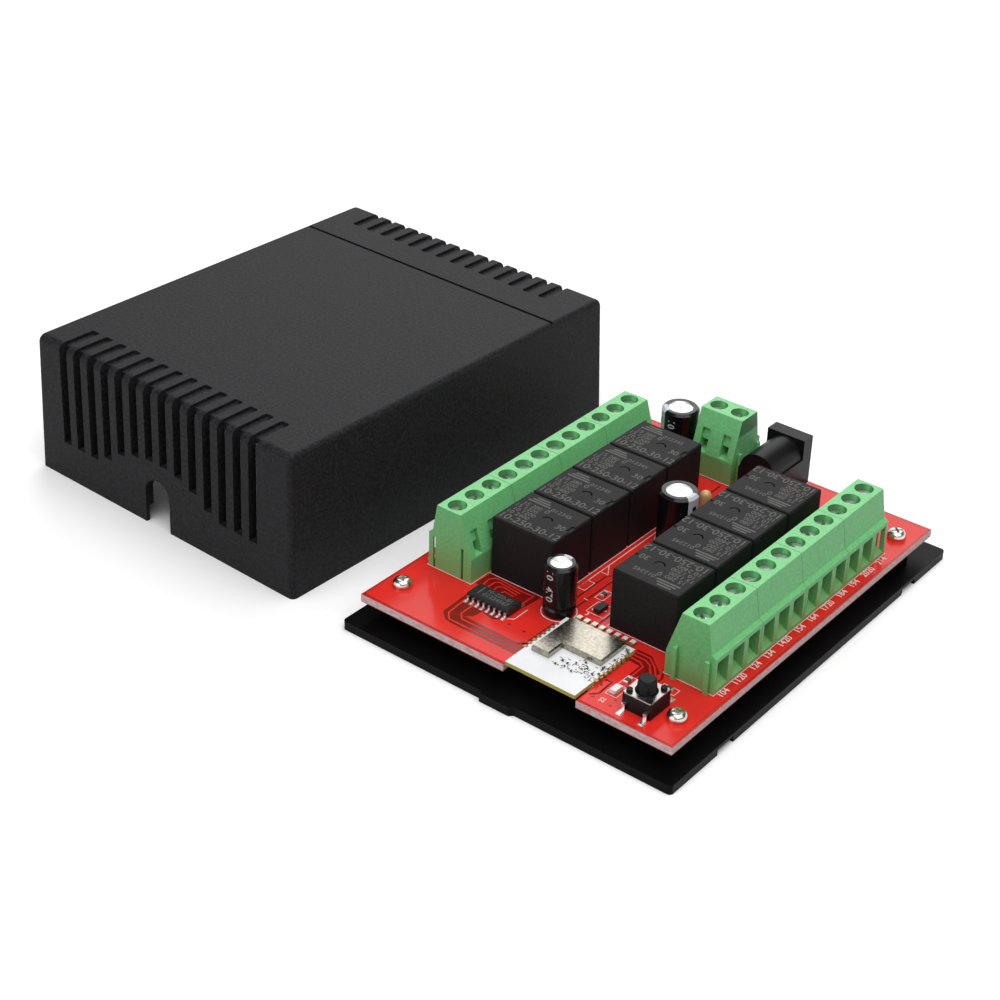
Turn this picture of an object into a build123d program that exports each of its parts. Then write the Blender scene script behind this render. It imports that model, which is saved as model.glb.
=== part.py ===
from build123d import *
from math import atan, cos, degrees, radians, sin, sqrt
import os

os.makedirs("parts", exist_ok=True)

# Relay module board on its base plate, with the slotted cover set down beside it.
# The origin is at the middle of the base plate's underside. X runs from the left row of
# terminals to the right row, Y from the push button to the power socket, Z is up.
# Places on the circuit board are measured from its front left corner.

# Base plate
plate_width = 75.4
plate_length = 98.0
plate_thickness = 1.9
plate_corner_radius = 0.8
tab_width = 7.5
tab_depth = 0.75
tab_bevel = 0.8
snap_notch_length = 5.0
snap_notch_depth = 1.2
snap_notch_skin = 0.65
snap_notch_inset_front = 16.9
snap_notch_inset_back = 15.2
standoff_height = 3.9
standoff_diameter = 5.6
pilot_depth = 4.6

# Circuit board
board_width = 71.0
board_length = 92.0
board_thickness = 1.6
board_setback = 0.2
antenna_gap_depth = 5.4
pin_clearance = 0.15
pin_tail = 1.4

# Screws that hold the board
screw_inset_x = 4.0
screw_inset_y = 7.3
screw_diameter = 1.9
screw_length = 6.0
screw_head_diameter = 3.8
screw_head_height = 1.7
screw_head_rounding = 1.1
screw_cross_width = 0.55
screw_cross_length = 2.3
screw_cross_depth = 0.7
screw_clearance = 0.15

# Terminal housings, one pole after another along a row
poles_per_block = 3
blocks_per_row = 4
block_joint = 0.12
housing_depth = 10.45
housing_height = 14.1
housing_wall_height = 5.1
housing_top_start = 2.8
housing_top_end = 8.5
ledge_top_height = 8.1
ledge_height = 7.5
ledge_depth = 0.9
well_offset = 5.6
well_diameter = 3.75
window_width = 3.6
window_foot = 2.3
window_height = 4.3
window_sill = 1.6
probe_slot_width = 1.9
probe_slot_head = 10.3
probe_slot_step = 7.7
probe_slot_foot = 5.4
probe_slot_depth = 0.8
rib_width = 0.9
rib_thickness = 0.3
rib_neck = 0.4
rib_height = 6.8
rib_offset_inner = 2.2
rib_offset_outer = 9.1
rib_clearance = 0.08
groove_lip = 0.3
row_margin = 2.95
left_row_start = 16.1
left_row_end = 14.94
right_row_start = 16.9
power_terminal_margin_back = 2.15
power_terminal_start = 20.7
power_poles = 2

# Clamp cages and their screws
cage_width = 3.4
cage_height = 5.3
cage_length = 4.0
cage_wall = 0.5
cage_foot = 1.1
cage_room_height = 7.6
cage_clearance = 0.15
cage_pin_width = 0.9
clamp_screw_diameter = 2.0
clamp_screw_reach = 0.9
clamp_head_diameter = 3.45
clamp_head_height = 1.8
clamp_head_sink = 1.3
clamp_slot_width = 0.7
clamp_slot_depth = 0.8

# Relays
aisle_width = 13.1
relay_height = 12.75
relay_joint = 0.43
relay_edge = 0.25
relays_per_row = 4
left_relay_gap = 0.4
right_relay_gap = 1.5
left_relay_start = 21.7
left_relay_end = 20.81
right_relay_start = 22.2
relay_mark_width = 2.0
relay_mark_length = 0.9
relay_mark_depth = 0.2
relay_pin_width = 1.0
relay_pin_thickness = 0.5
relay_pin_inset = 1.6
relay_contact_inset = 1.925
relay_common_place = 6.0

# Electrolytic capacitors: two in the aisle between the relays, one by the power terminal
front_can_diameter = 6.3
front_can_height = 11.0
front_can_offset = 3.25
front_can_y = 19.9
large_can_diameter = 8.0
large_can_height = 12.0
middle_can_offset = 0.45
middle_can_y = 54.2
back_can_x = 15.6
back_can_inset = 9.6
sleeve_wall = 0.15
sleeve_lip = 0.33
sleeve_edge = 0.5
can_dip = 0.15
can_score_width = 0.25
can_score_depth = 0.1
can_score_margin = 0.5
bung_height = 0.3
bung_step = 0.5
can_groove_height = 1.7
can_groove_half = 0.45
can_groove_depth = 0.3
lead_width = 0.5
lead_spread = 0.35

# Power socket
jack_width = 8.9
jack_height = 11.0
jack_flange = 3.3
jack_length = 13.9
jack_place = 37.75
jack_inset = 0.2
jack_axis_height = 6.5
jack_barrel_radius = 4.1
jack_bore = 6.4
jack_bore_depth = 9.6
jack_pin_diameter = 2.0
jack_pin_length = 7.6
jack_tab_width = 2.2
jack_tab_thickness = 0.6

# Radio module
module_width = 15.6
module_length = 18.2
module_thickness = 0.8
module_offset = 7.45
module_front = 0.15
antenna_gap_side = 0.35
pad_pitch = 1.33
pads_per_side = 8
pad_start = 6.1
pad_radius = 0.36
pad_foot = 0.5
tab_pitch = 1.73
tab_size = 1.0
tab_length = 2.3
shield_height = 1.2
shield_left = 1.5
shield_right = 1.6
shield_back = 0.5
shield_middle = 9.9
shield_front = 5.7
shield_leg = 3.9
shield_edge = 0.25

# Driver chip
chip_length = 9.9
chip_width = 3.9
chip_height = 1.45
chip_standoff = 0.15
chip_x = 20.9
chip_y = 14.0
chip_bevel = 0.25
lead_pitch = 1.27
leads_per_side = 8
lead_size = 0.42
lead_thickness = 0.2
lead_reach = 1.05
lead_height = 0.85
lead_foot = 0.55

# Push button
button_size = 6.0
button_body_height = 3.3
button_plate_thickness = 0.25
button_inset = 10.15
button_y = 6.6
plunger_diameter = 3.85
plunger_top_diameter = 3.2
plunger_top = 6.2
plunger_travel = 0.25
plunger_flange = 0.45
plunger_flange_diameter = 4.5
plunger_clearance = 0.2
dome_diameter = 4.2
dome_thickness = 0.15
dome_rise = 0.3
rivet_diameter = 1.15
rivet_inset = 0.85
rivet_rise = 0.55
rivet_clearance = 0.05
leg_spread = 4.6
leg_width = 0.7
leg_thickness = 0.25
leg_height = 1.6
leg_reach = 1.9
leg_foot = 1.15

# Small parts on the board
lamp_width = 1.3
lamp_length = 2.1
lamp_height = 0.8
lamp_y = 6.8
chip_part_width = 0.9
chip_part_length = 1.7
chip_part_height = 0.55
lamp_resistor_y = 10.4
button_part_offset = 0.35
button_part_y = 13.3
aisle_part_offset = 4.65
aisle_part_y = 30.6
aisle_resistor_y = 29.6
transistor_width = 1.4
transistor_length = 2.9
transistor_height = 1.0
front_transistor_offset = 2.45
front_transistor_y = 25.3
middle_transistor_offset = 3.65
middle_transistor_y = 49.0
transistor_lead_length = 0.6
transistor_lead_width = 0.4
transistor_lead_height = 0.25
bead_diameter = 2.5
bead_height = 4.2
bead_rise = 2.0
bead_offset = 1.35
bead_y = 65.6
bead_lead_spread = 1.27

# Cover, beside the plate and turned a little
cover_clearance_x = 0.6
cover_clearance_y = 0.2
cover_wall = 2.0
cover_height = 31.2
cover_lean = 0.9
cover_end_edge = 1.8
cover_side_edge = 1.2
cover_rim_height = 3.4
cover_rim_thickness = 0.9
cover_gap = 11.9
cover_slide = 0.95
cover_turn = -1.85
ends_offset = 0.9
slot_count = 14
slot_pitch = 4.31
slot_width = 2.25
slot_foot = 8.5
slot_recess = 0.7
slot_wrap_front = 9.9
slot_wrap_back = 9.8
slot_rounding = 0.6
arch_radius = 26.0
arch_top = 14.8
notch_width = 7.2
notch_jamb = 8.0
notch_rise = 2.8
groove_place = 78.7
groove_width = 0.6
groove_depth = 0.35

# Levels and edges that the pieces share
board_bottom = plate_thickness + standoff_height
board_top = board_bottom + board_thickness
board_left = -board_width / 2
board_front = -board_length / 2 - board_setback
board_right = board_left + board_width
board_back = board_front + board_length
board_middle = (board_front + board_back) / 2
pin_length = board_thickness + pin_tail
head_top = housing_height - clamp_head_sink
head_foot = head_top - clamp_head_height
shank_foot = cage_foot + cage_height - cage_wall - clamp_screw_reach
poles_per_row = poles_per_block * blocks_per_row
pole_pitch = (board_length - left_row_start - left_row_end) / poles_per_row
row_length = poles_per_row * pole_pitch
screw_places = [
    (x * (board_width / 2 - screw_inset_x), board_middle + y * (board_length / 2 - screw_inset_y))
    for x in (-1, 1)
    for y in (-1, 1)
]


def on_board(x, y):
    """A place given from the board's front left corner."""
    return (board_left + x, board_front + y)


def plane_on(seat, origin, x_dir, z_dir):
    """A plane given in the axes of another plane."""
    turned = [seat.from_local_coords(Vector(*v)) - seat.origin for v in (x_dir, z_dir)]
    return Plane(seat.from_local_coords(Vector(*origin)), x_dir=turned[0], z_dir=turned[1])


def save(name, label):
    """Label a finished piece and write it."""
    name.part.label = label
    export_step(name.part, f"parts/{label}.step")


# Seats of the terminals: X along the row, Y out towards the wires, Z up from the board
left_seat = Plane(
    (board_left + row_margin + housing_depth, board_front + left_row_start, board_top),
    x_dir=(0, 1, 0),
    z_dir=(0, 0, 1),
)
right_seat = Plane(
    (board_right - row_margin - housing_depth, board_front + right_row_start + row_length, board_top),
    x_dir=(0, -1, 0),
    z_dir=(0, 0, 1),
)
power_seat = Plane(
    (board_left + power_terminal_start, board_back - power_terminal_margin_back - housing_depth, board_top),
    x_dir=(1, 0, 0),
    z_dir=(0, 0, 1),
)


def along_row(seat, poles):
    """The same seat, moved on by a number of poles."""
    return plane_on(seat, (poles * pole_pitch, 0, 0), (1, 0, 0), (0, 0, 1))


def pole_centres(poles):
    """Places of the poles along a block."""
    return [(n + 0.5) * pole_pitch for n in range(poles)]


row_seats = [
    along_row(seat, poles_per_block * n)
    for seat in (left_seat, right_seat)
    for n in range(blocks_per_row)
]
terminal_seats = [(seat, poles_per_block) for seat in row_seats] + [(power_seat, power_poles)]
pole_seats = [(seat, x) for seat, poles in terminal_seats for x in pole_centres(poles)]

# Relays fill the room between the rows of terminals, up to the aisle
relay_room_x = board_width - 2 * (row_margin + housing_depth) - left_relay_gap - right_relay_gap
relay_width = (relay_room_x - aisle_width) / 2
relay_room_y = board_length - left_relay_start - left_relay_end
relay_length = (relay_room_y - (relays_per_row - 1) * relay_joint) / relays_per_row

# Seats of the relays: the front left corner of each case
left_relay_x = row_margin + housing_depth + left_relay_gap
right_relay_x = board_width - row_margin - housing_depth - right_relay_gap - relay_width
relay_step = relay_length + relay_joint
relay_corners = [
    (x, start + n * relay_step)
    for x, start in ((left_relay_x, left_relay_start), (right_relay_x, right_relay_start))
    for n in range(relays_per_row)
]

# Places that follow the aisle, the button and the edges of the board
aisle_middle = left_relay_x + relay_width + aisle_width / 2
module_place = aisle_middle + module_offset
button_x = board_width - button_inset
lamp_x = (module_place + module_width / 2 + pad_foot + button_x - button_size / 2) / 2
capacitors = [
    (front_can_diameter, front_can_height, aisle_middle - front_can_offset, front_can_y),
    (large_can_diameter, large_can_height, aisle_middle - middle_can_offset, middle_can_y),
    (large_can_diameter, large_can_height, back_can_x, board_length - back_can_inset),
]
chip_part_places = [
    (lamp_x, lamp_resistor_y, 0),
    (button_x + button_part_offset, button_part_y, 90),
    (aisle_middle, aisle_resistor_y, 0),
    (aisle_middle + aisle_part_offset, aisle_part_y, 0),
]
transistor_places = [
    (aisle_middle + front_transistor_offset, front_transistor_y),
    (aisle_middle + middle_transistor_offset, middle_transistor_y),
]
bead_place = (aisle_middle - bead_offset, bead_y)


def relay_pin_places(corner, mirrored):
    """Five pins below a case: two for the coil and one common by them, two contacts opposite."""
    coil = relay_pin_inset
    contact = relay_width - relay_pin_inset
    middle = relay_length / 2
    half = middle - relay_contact_inset
    local = [(coil, middle - half), (coil, middle + half), (contact, middle - half), (contact, middle + half)]
    local.append((relay_common_place, middle))
    return [(corner[0] + (relay_width - x if mirrored else x), corner[1] + y) for x, y in local]


relay_pin_list = [
    place
    for n, corner in enumerate(relay_corners)
    for place in relay_pin_places(corner, n >= relays_per_row)
]

cage_pin_list = [seat.from_local_coords(Vector(x, well_offset, 0)) for seat, x in pole_seats]

capacitor_lead_list = [
    (x + side * lead_spread * diameter / 2, y)
    for diameter, height, x, y in capacitors
    for side in (-1, 1)
]

jack_back = board_length - jack_inset
jack_front = jack_back - jack_length
jack_tab_list = [
    (jack_place, jack_front + jack_tab_thickness),
    (jack_place, jack_back - jack_flange - jack_tab_width),
]

bead_lead_list = [(bead_place[0] + side * bead_lead_spread / 2, bead_place[1]) for side in (-1, 1)]

snap_notch_places = [
    (side * plate_width / 2, y)
    for side in (-1, 1)
    for y in (snap_notch_inset_front - plate_length / 2, plate_length / 2 - snap_notch_inset_back)
]

# Base plate with the standoffs, the front tab and the snap notches under its side edges
with BuildPart() as base_plate:
    with BuildSketch():
        RectangleRounded(plate_width, plate_length, plate_corner_radius)
        with Locations((0, -plate_length / 2)):
            Polygon(
                (-tab_width / 2, tab_depth),
                (-tab_width / 2, -tab_depth),
                (tab_width / 2 - tab_bevel, -tab_depth),
                (tab_width / 2, tab_bevel - tab_depth),
                (tab_width / 2, tab_depth),
                align=None,
            )
    extrude(amount=plate_thickness)
    with BuildSketch():
        with Locations(*snap_notch_places):
            Rectangle(2 * snap_notch_depth, snap_notch_length)
    extrude(amount=plate_thickness - snap_notch_skin, mode=Mode.SUBTRACT)
    with BuildSketch(Plane.XY.offset(plate_thickness)):
        with Locations(*screw_places):
            Circle(standoff_diameter / 2)
    extrude(amount=standoff_height)
    with BuildSketch(Plane.XY.offset(board_bottom)):
        with Locations(*screw_places):
            Circle(screw_diameter / 2 + screw_clearance)
    extrude(amount=-pilot_depth, mode=Mode.SUBTRACT)
save(base_plate, "base_plate")


def pin_hole(width, length):
    """A square hole with clearance round a pin."""
    Rectangle(width + 2 * pin_clearance, length + 2 * pin_clearance, mode=Mode.SUBTRACT)


# Circuit board with the gap under the antenna, the screw holes and the pin holes
with BuildPart() as circuit_board:
    with BuildSketch(Plane.XY.offset(board_bottom)):
        with Locations((0, board_middle)):
            Rectangle(board_width, board_length)
        with Locations(on_board(module_place, 0)):
            Rectangle(module_width + 2 * antenna_gap_side, 2 * antenna_gap_depth, mode=Mode.SUBTRACT)
        with Locations(*screw_places):
            Circle(screw_diameter / 2 + screw_clearance, mode=Mode.SUBTRACT)
        with Locations(*[(p.X, p.Y) for p in cage_pin_list]):
            pin_hole(cage_pin_width, cage_pin_width)
        with Locations(*[on_board(*place) for place in relay_pin_list]):
            pin_hole(relay_pin_thickness, relay_pin_width)
        with Locations(*[on_board(*place) for place in capacitor_lead_list + bead_lead_list]):
            pin_hole(lead_width, lead_width)
        with Locations(*[on_board(*place) for place in jack_tab_list]):
            pin_hole(jack_tab_width, jack_tab_thickness)
    extrude(amount=board_thickness)
save(circuit_board, "circuit_board")

# Pan-head screws with a cross recess
with BuildPart() as board_screws:
    with BuildSketch(Plane.XY.offset(board_top)):
        with Locations(*screw_places):
            Circle(screw_head_diameter / 2)
    extrude(amount=screw_head_height)
    fillet(board_screws.edges().group_by(Axis.Z)[-1], screw_head_rounding)
    with BuildSketch(Plane.XY.offset(board_top)):
        with Locations(*screw_places):
            Circle(screw_diameter / 2)
    extrude(amount=-screw_length)
    with BuildSketch(Plane.XY.offset(board_top + screw_head_height)):
        with Locations(*screw_places):
            Rectangle(screw_cross_length, screw_cross_width, rotation=45)
            Rectangle(screw_cross_length, screw_cross_width, rotation=-45)
    extrude(amount=-screw_cross_depth, mode=Mode.SUBTRACT)
save(board_screws, "board_screws")


def terminal_housing(poles):
    """A moulded block: sloped back, wire windows in front, screw wells above, ribs and grooves."""
    length = poles * pole_pitch - block_joint
    centres = pole_centres(poles)
    section = Plane((block_joint / 2, 0, 0), x_dir=(0, 1, 0), z_dir=(1, 0, 0))
    cage_room = cage_width + 2 * cage_clearance
    room_head = cage_foot + cage_room_height
    slope = housing_top_start / (housing_height - housing_wall_height)
    slot_floor_foot = slope * (probe_slot_step - housing_wall_height) + probe_slot_depth
    slot_floor_head = slope * (probe_slot_head - housing_wall_height) + probe_slot_depth
    room_start = well_offset - cage_length / 2 - cage_clearance
    room_end = well_offset + cage_length / 2 + cage_clearance
    with BuildPart() as housing:
        with BuildSketch(section):
            Polygon(
                (0, 0),
                (0, housing_wall_height),
                (housing_top_start, housing_height),
                (housing_top_end, housing_height),
                (housing_depth - ledge_depth, ledge_top_height),
                (housing_depth, ledge_height),
                (housing_depth, 0),
                align=None,
            )
        extrude(amount=length)
        # T-shaped ribs at one end, grooves for the next block's ribs at the other
        neck_length = block_joint + groove_lip + rib_clearance
        with BuildSketch():
            for y in (rib_offset_inner, rib_offset_outer):
                with Locations((block_joint / 2 + length + neck_length / 2, y)):
                    Rectangle(neck_length, rib_neck)
                with Locations((block_joint / 2 + length + neck_length + rib_thickness / 2, y)):
                    Rectangle(rib_thickness, rib_width)
        extrude(amount=rib_height)
        with BuildSketch():
            pocket_depth = rib_thickness + 2 * rib_clearance
            for y in (rib_offset_inner, rib_offset_outer):
                with Locations((block_joint / 2 + groove_lip / 2, y)):
                    Rectangle(groove_lip, rib_neck + 2 * rib_clearance)
                with Locations((block_joint / 2 + groove_lip + pocket_depth / 2, y)):
                    Rectangle(pocket_depth, rib_width + 2 * rib_clearance)
        extrude(amount=rib_height + rib_clearance, mode=Mode.SUBTRACT)
        # Screw wells, narrower below the shoulder that the screw head sits on
        with BuildSketch(Plane.XY.offset(housing_height)):
            with Locations(*[(x, well_offset) for x in centres]):
                Circle(well_diameter / 2)
        extrude(amount=head_foot - housing_height, mode=Mode.SUBTRACT)
        with BuildSketch(Plane.XY.offset(head_foot)):
            with Locations(*[(x, well_offset) for x in centres]):
                Circle(clamp_screw_diameter / 2 + cage_clearance)
        extrude(amount=room_head - head_foot, mode=Mode.SUBTRACT)
        # Rooms for the cages and the wire windows in front of them
        with BuildSketch(Plane((0, room_end, 0), x_dir=(-1, 0, 0), z_dir=(0, 1, 0))):
            with Locations(*[(-x, (cage_foot + room_head) / 2) for x in centres]):
                Rectangle(cage_room, room_head - cage_foot)
        extrude(amount=room_start - room_end, mode=Mode.SUBTRACT)
        with BuildSketch(Plane((0, housing_depth, 0), x_dir=(-1, 0, 0), z_dir=(0, 1, 0))):
            with Locations(*[(-x, window_foot + window_height / 2) for x in centres]):
                Rectangle(window_width, window_height)
        extrude(amount=room_end - housing_depth, mode=Mode.SUBTRACT)
        # Sloping sill below each window
        for x in centres:
            with BuildSketch(Plane((x - window_width / 2, 0, 0), x_dir=(0, 1, 0), z_dir=(1, 0, 0))):
                Polygon(
                    (housing_depth, window_foot),
                    (housing_depth, window_foot - window_sill),
                    (room_end, window_foot),
                    align=None,
                )
            extrude(amount=window_width, mode=Mode.SUBTRACT)
        # Probe slots in the sloped back, shallow above and open to the cage's room below
        for x in centres:
            with BuildSketch(Plane((x - probe_slot_width / 2, 0, 0), x_dir=(0, 1, 0), z_dir=(1, 0, 0))):
                Polygon(
                    (0, probe_slot_foot),
                    (room_start, probe_slot_foot),
                    (room_start, probe_slot_step),
                    (slot_floor_foot, probe_slot_step),
                    (slot_floor_head, probe_slot_head),
                    (0, probe_slot_head),
                    align=None,
                )
            extrude(amount=probe_slot_width, mode=Mode.SUBTRACT)
        # Holes for the pins in the floor
        with BuildSketch():
            with Locations(*[(x, well_offset) for x in centres]):
                Rectangle(cage_pin_width + 2 * pin_clearance, cage_pin_width + 2 * pin_clearance)
        extrude(amount=cage_foot, mode=Mode.SUBTRACT)
    return housing


three_pole_housing = terminal_housing(poles_per_block)
side_names = ["left", "right"]
for n, seat in enumerate(row_seats):
    side = side_names[n // blocks_per_row]
    order = n % blocks_per_row
    # Blocks are counted from the front on both sides
    number = order + 1 if side == "left" else blocks_per_row - order
    with BuildPart() as placed_housing:
        with Locations(seat.location):
            add(three_pole_housing.part)
    save(placed_housing, f"terminal_{side}_{number}")

two_pole_housing = terminal_housing(power_poles)
with BuildPart() as placed_housing:
    with Locations(power_seat.location):
        add(two_pole_housing.part)
save(placed_housing, "power_terminal")

# Places of the poles, one above each pin
pole_places = [seat.location * Location((x, well_offset, 0)) for seat, x in pole_seats]

# Clamp cages: open frames with the pin below
with BuildPart() as one_cage:
    with BuildSketch(Plane((0, -cage_length / 2, cage_foot), x_dir=(-1, 0, 0), z_dir=(0, 1, 0))):
        with Locations((0, cage_height / 2)):
            Rectangle(cage_width, cage_height)
            Rectangle(cage_width - 2 * cage_wall, cage_height - 2 * cage_wall, mode=Mode.SUBTRACT)
    extrude(amount=cage_length)
    with BuildSketch(Plane.XY.offset(cage_foot + cage_height)):
        Rectangle(clamp_screw_diameter + 2 * pin_clearance, clamp_screw_diameter + 2 * pin_clearance)
    extrude(amount=-cage_wall, mode=Mode.SUBTRACT)
    with BuildSketch(Plane.XY.offset(cage_foot)):
        Rectangle(cage_pin_width, cage_pin_width)
    extrude(amount=-cage_foot - pin_length)

with BuildPart() as terminal_cages:
    with Locations(*pole_places):
        add(one_cage.part, clean=False)
save(terminal_cages, "terminal_cages")

# Clamp screws: slotted heads in the wells, shanks through the tops of the cages
with BuildPart() as one_clamp_screw:
    with BuildSketch(Plane.XY.offset(head_foot)):
        Circle(clamp_head_diameter / 2)
    extrude(amount=clamp_head_height)
    with BuildSketch(Plane.XY.offset(head_foot)):
        Circle(clamp_screw_diameter / 2)
    extrude(amount=shank_foot - head_foot)
    with BuildSketch(Plane.XY.offset(head_top)):
        Rectangle(clamp_head_diameter * 2, clamp_slot_width)
    extrude(amount=-clamp_slot_depth, mode=Mode.SUBTRACT)

with BuildPart() as terminal_screws:
    turned_places = [place * Location((0, 0, 0), (0, 0, 25 * (n % 7))) for n, place in enumerate(pole_places)]
    with Locations(*turned_places):
        add(one_clamp_screw.part, clean=False)
save(terminal_screws, "terminal_screws")


# Relays: sealed cases with bevelled edges and a shallow mark by the inner edge
with BuildPart() as relay_case:
    with BuildSketch():
        Rectangle(relay_width, relay_length)
    extrude(amount=relay_height)
    chamfer(relay_case.edges().filter_by(Axis.Z) + relay_case.edges().group_by(Axis.Z)[-1], relay_edge)
    with BuildSketch(Plane.XY.offset(relay_height)):
        with Locations((relay_width / 2, 0)):
            Rectangle(2 * relay_mark_length, relay_mark_width)
    extrude(amount=-relay_mark_depth, mode=Mode.SUBTRACT)

for n, (corner_x, corner_y) in enumerate(relay_corners):
    centre = on_board(corner_x + relay_width / 2, corner_y + relay_length / 2)
    turn = 0 if n < relays_per_row else 180
    with BuildPart() as placed_relay:
        with Locations(Location((*centre, board_top), (0, 0, turn))):
            add(relay_case.part)
    save(placed_relay, f"relay_{n + 1}")

with BuildPart() as relay_pins:
    with BuildSketch(Plane.XY.offset(board_top)):
        with Locations(*[on_board(*place) for place in relay_pin_list]):
            Rectangle(relay_pin_thickness, relay_pin_width)
    extrude(amount=-pin_length)
save(relay_pins, "relay_pins")


def can_groove(radius, foot):
    """The groove pressed round a can above its bung, as the outline passes it going up."""
    middle = foot + can_groove_height
    return [
        (radius, middle - can_groove_half),
        (radius - can_groove_depth, middle),
        (radius, middle + can_groove_half),
    ]


# Capacitors: a can in a sleeve that folds over its top edge, on a rubber bung with two leads
for n, (diameter, height, x, y) in enumerate(capacitors):
    can_radius = diameter / 2 - sleeve_wall
    lip_radius = diameter / 2 * (1 - sleeve_lip)
    foot = board_top + bung_height
    head = board_top + height
    axis_plane = Plane((*on_board(x, y), 0), x_dir=(1, 0, 0), z_dir=(0, -1, 0))
    with BuildPart() as can:
        with BuildSketch(axis_plane):
            with BuildLine():
                Polyline(
                    (0, foot),
                    (can_radius, foot),
                    *can_groove(can_radius, foot),
                    (can_radius, head - sleeve_edge - sleeve_wall),
                    (can_radius - sleeve_edge, head - sleeve_wall),
                    (lip_radius, head - sleeve_wall),
                    (lip_radius - can_dip, head - sleeve_wall - can_dip),
                    (0, head - sleeve_wall - can_dip),
                    close=True,
                )
            make_face()
        revolve(axis=Axis((*on_board(x, y), 0), (0, 0, 1)))
        # Cross scored in the top
        with BuildSketch(Plane.XY.offset(head - sleeve_wall - can_dip)):
            with Locations(on_board(x, y)):
                Rectangle(2 * (lip_radius - can_score_margin), can_score_width)
                Rectangle(can_score_width, 2 * (lip_radius - can_score_margin))
        extrude(amount=-can_score_depth, mode=Mode.SUBTRACT)
    save(can, f"capacitor_can_{n + 1}")
    with BuildPart() as sleeve:
        with BuildSketch(axis_plane):
            with BuildLine():
                Polyline(
                    (can_radius, foot),
                    (diameter / 2, foot),
                    *can_groove(diameter / 2, foot),
                    (diameter / 2, head - sleeve_edge),
                    (diameter / 2 - sleeve_edge, head),
                    (lip_radius, head),
                    (lip_radius, head - sleeve_wall),
                    (can_radius - sleeve_edge, head - sleeve_wall),
                    (can_radius, head - sleeve_edge - sleeve_wall),
                    *reversed(can_groove(can_radius, foot)),
                    close=True,
                )
            make_face()
        revolve(axis=Axis((*on_board(x, y), 0), (0, 0, 1)))
    save(sleeve, f"capacitor_sleeve_{n + 1}")

with BuildPart() as capacitor_bungs:
    for diameter, height, x, y in capacitors:
        with BuildSketch(Plane.XY.offset(board_top)):
            with Locations(on_board(x, y)):
                Circle(diameter / 2 - bung_step)
        extrude(amount=bung_height)
    with BuildSketch(Plane.XY.offset(board_top)):
        with Locations(*[on_board(*place) for place in capacitor_lead_list]):
            Rectangle(lead_width, lead_width)
    extrude(amount=bung_height, mode=Mode.SUBTRACT)
save(capacitor_bungs, "capacitor_bungs")

with BuildPart() as capacitor_leads:
    with BuildSketch(Plane.XY.offset(board_top + bung_height)):
        with Locations(*[on_board(*place) for place in capacitor_lead_list]):
            Rectangle(lead_width, lead_width)
    extrude(amount=-bung_height - pin_length)
save(capacitor_leads, "capacitor_leads")

# Power socket: square flange at the back, barrel on a block, centre pin in the bore
jack_seat = Plane((*on_board(jack_place, jack_back), board_top), x_dir=(-1, 0, 0), z_dir=(0, 1, 0))
with BuildPart() as power_jack:
    with BuildSketch(jack_seat):
        with Locations((0, jack_height / 2)):
            Rectangle(jack_width, jack_height)
    extrude(amount=-jack_flange)
    with BuildSketch(jack_seat.offset(-jack_flange)):
        with Locations((0, jack_axis_height / 2)):
            Rectangle(jack_width, jack_axis_height)
        with Locations((0, jack_axis_height)):
            Circle(jack_barrel_radius)
    extrude(amount=jack_flange - jack_length)
    with BuildSketch(jack_seat):
        with Locations((0, jack_axis_height)):
            Circle(jack_bore / 2)
    extrude(amount=-jack_bore_depth, mode=Mode.SUBTRACT)
    with BuildSketch(Plane.XY.offset(board_top)):
        with Locations(*[on_board(*place) for place in jack_tab_list]):
            Rectangle(jack_tab_width, jack_tab_thickness)
    extrude(amount=jack_tab_thickness, mode=Mode.SUBTRACT)
save(power_jack, "power_jack")

with BuildPart() as jack_pin:
    with BuildSketch(jack_seat.offset(-jack_bore_depth)):
        with Locations((0, jack_axis_height)):
            Circle(jack_pin_diameter / 2)
    extrude(amount=jack_pin_length)
    chamfer(jack_pin.edges().group_by(Axis.Y)[-1], jack_pin_diameter / 8)
save(jack_pin, "jack_pin")

with BuildPart() as jack_tabs:
    with BuildSketch(Plane.XY.offset(board_top + jack_tab_thickness)):
        with Locations(*[on_board(*place) for place in jack_tab_list]):
            Rectangle(jack_tab_width, jack_tab_thickness)
    extrude(amount=-jack_tab_thickness - pin_length)
save(jack_tabs, "jack_tabs")

# Radio module: its board hangs over the antenna gap, with half-round pads along its sides
module_left = module_place - module_width / 2
module_back = module_front + module_length
pad_rows = [module_front + pad_start + n * pad_pitch for n in range(pads_per_side)]
pad_places = [(module_left + side * module_width, y) for side in (0, 1) for y in pad_rows]
with BuildPart() as module_board:
    with BuildSketch(Plane.XY.offset(board_top)):
        with Locations(on_board(module_place, (module_front + module_back) / 2)):
            Rectangle(module_width, module_length)
        with Locations(*[on_board(*place) for place in pad_places]):
            Rectangle(2 * pad_radius, 2 * pad_radius, mode=Mode.SUBTRACT)
    extrude(amount=module_thickness)
save(module_board, "module_board")

with BuildPart() as module_pads:
    with BuildSketch(Plane.XY.offset(board_top)):
        for side in (-1, 1):
            x = module_place + side * (module_width + pad_foot - pad_radius) / 2
            with Locations(*[on_board(x, y) for y in pad_rows]):
                Rectangle(pad_foot + pad_radius, 2 * pad_radius)
    extrude(amount=module_thickness)
    with BuildSketch(Plane.XY.offset(board_top)):
        with Locations(on_board(module_place, module_back + tab_length / 2)):
            with GridLocations(tab_pitch, 1, pads_per_side, 1):
                Rectangle(tab_size, tab_length)
    extrude(amount=module_thickness)
save(module_pads, "module_pads")

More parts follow.
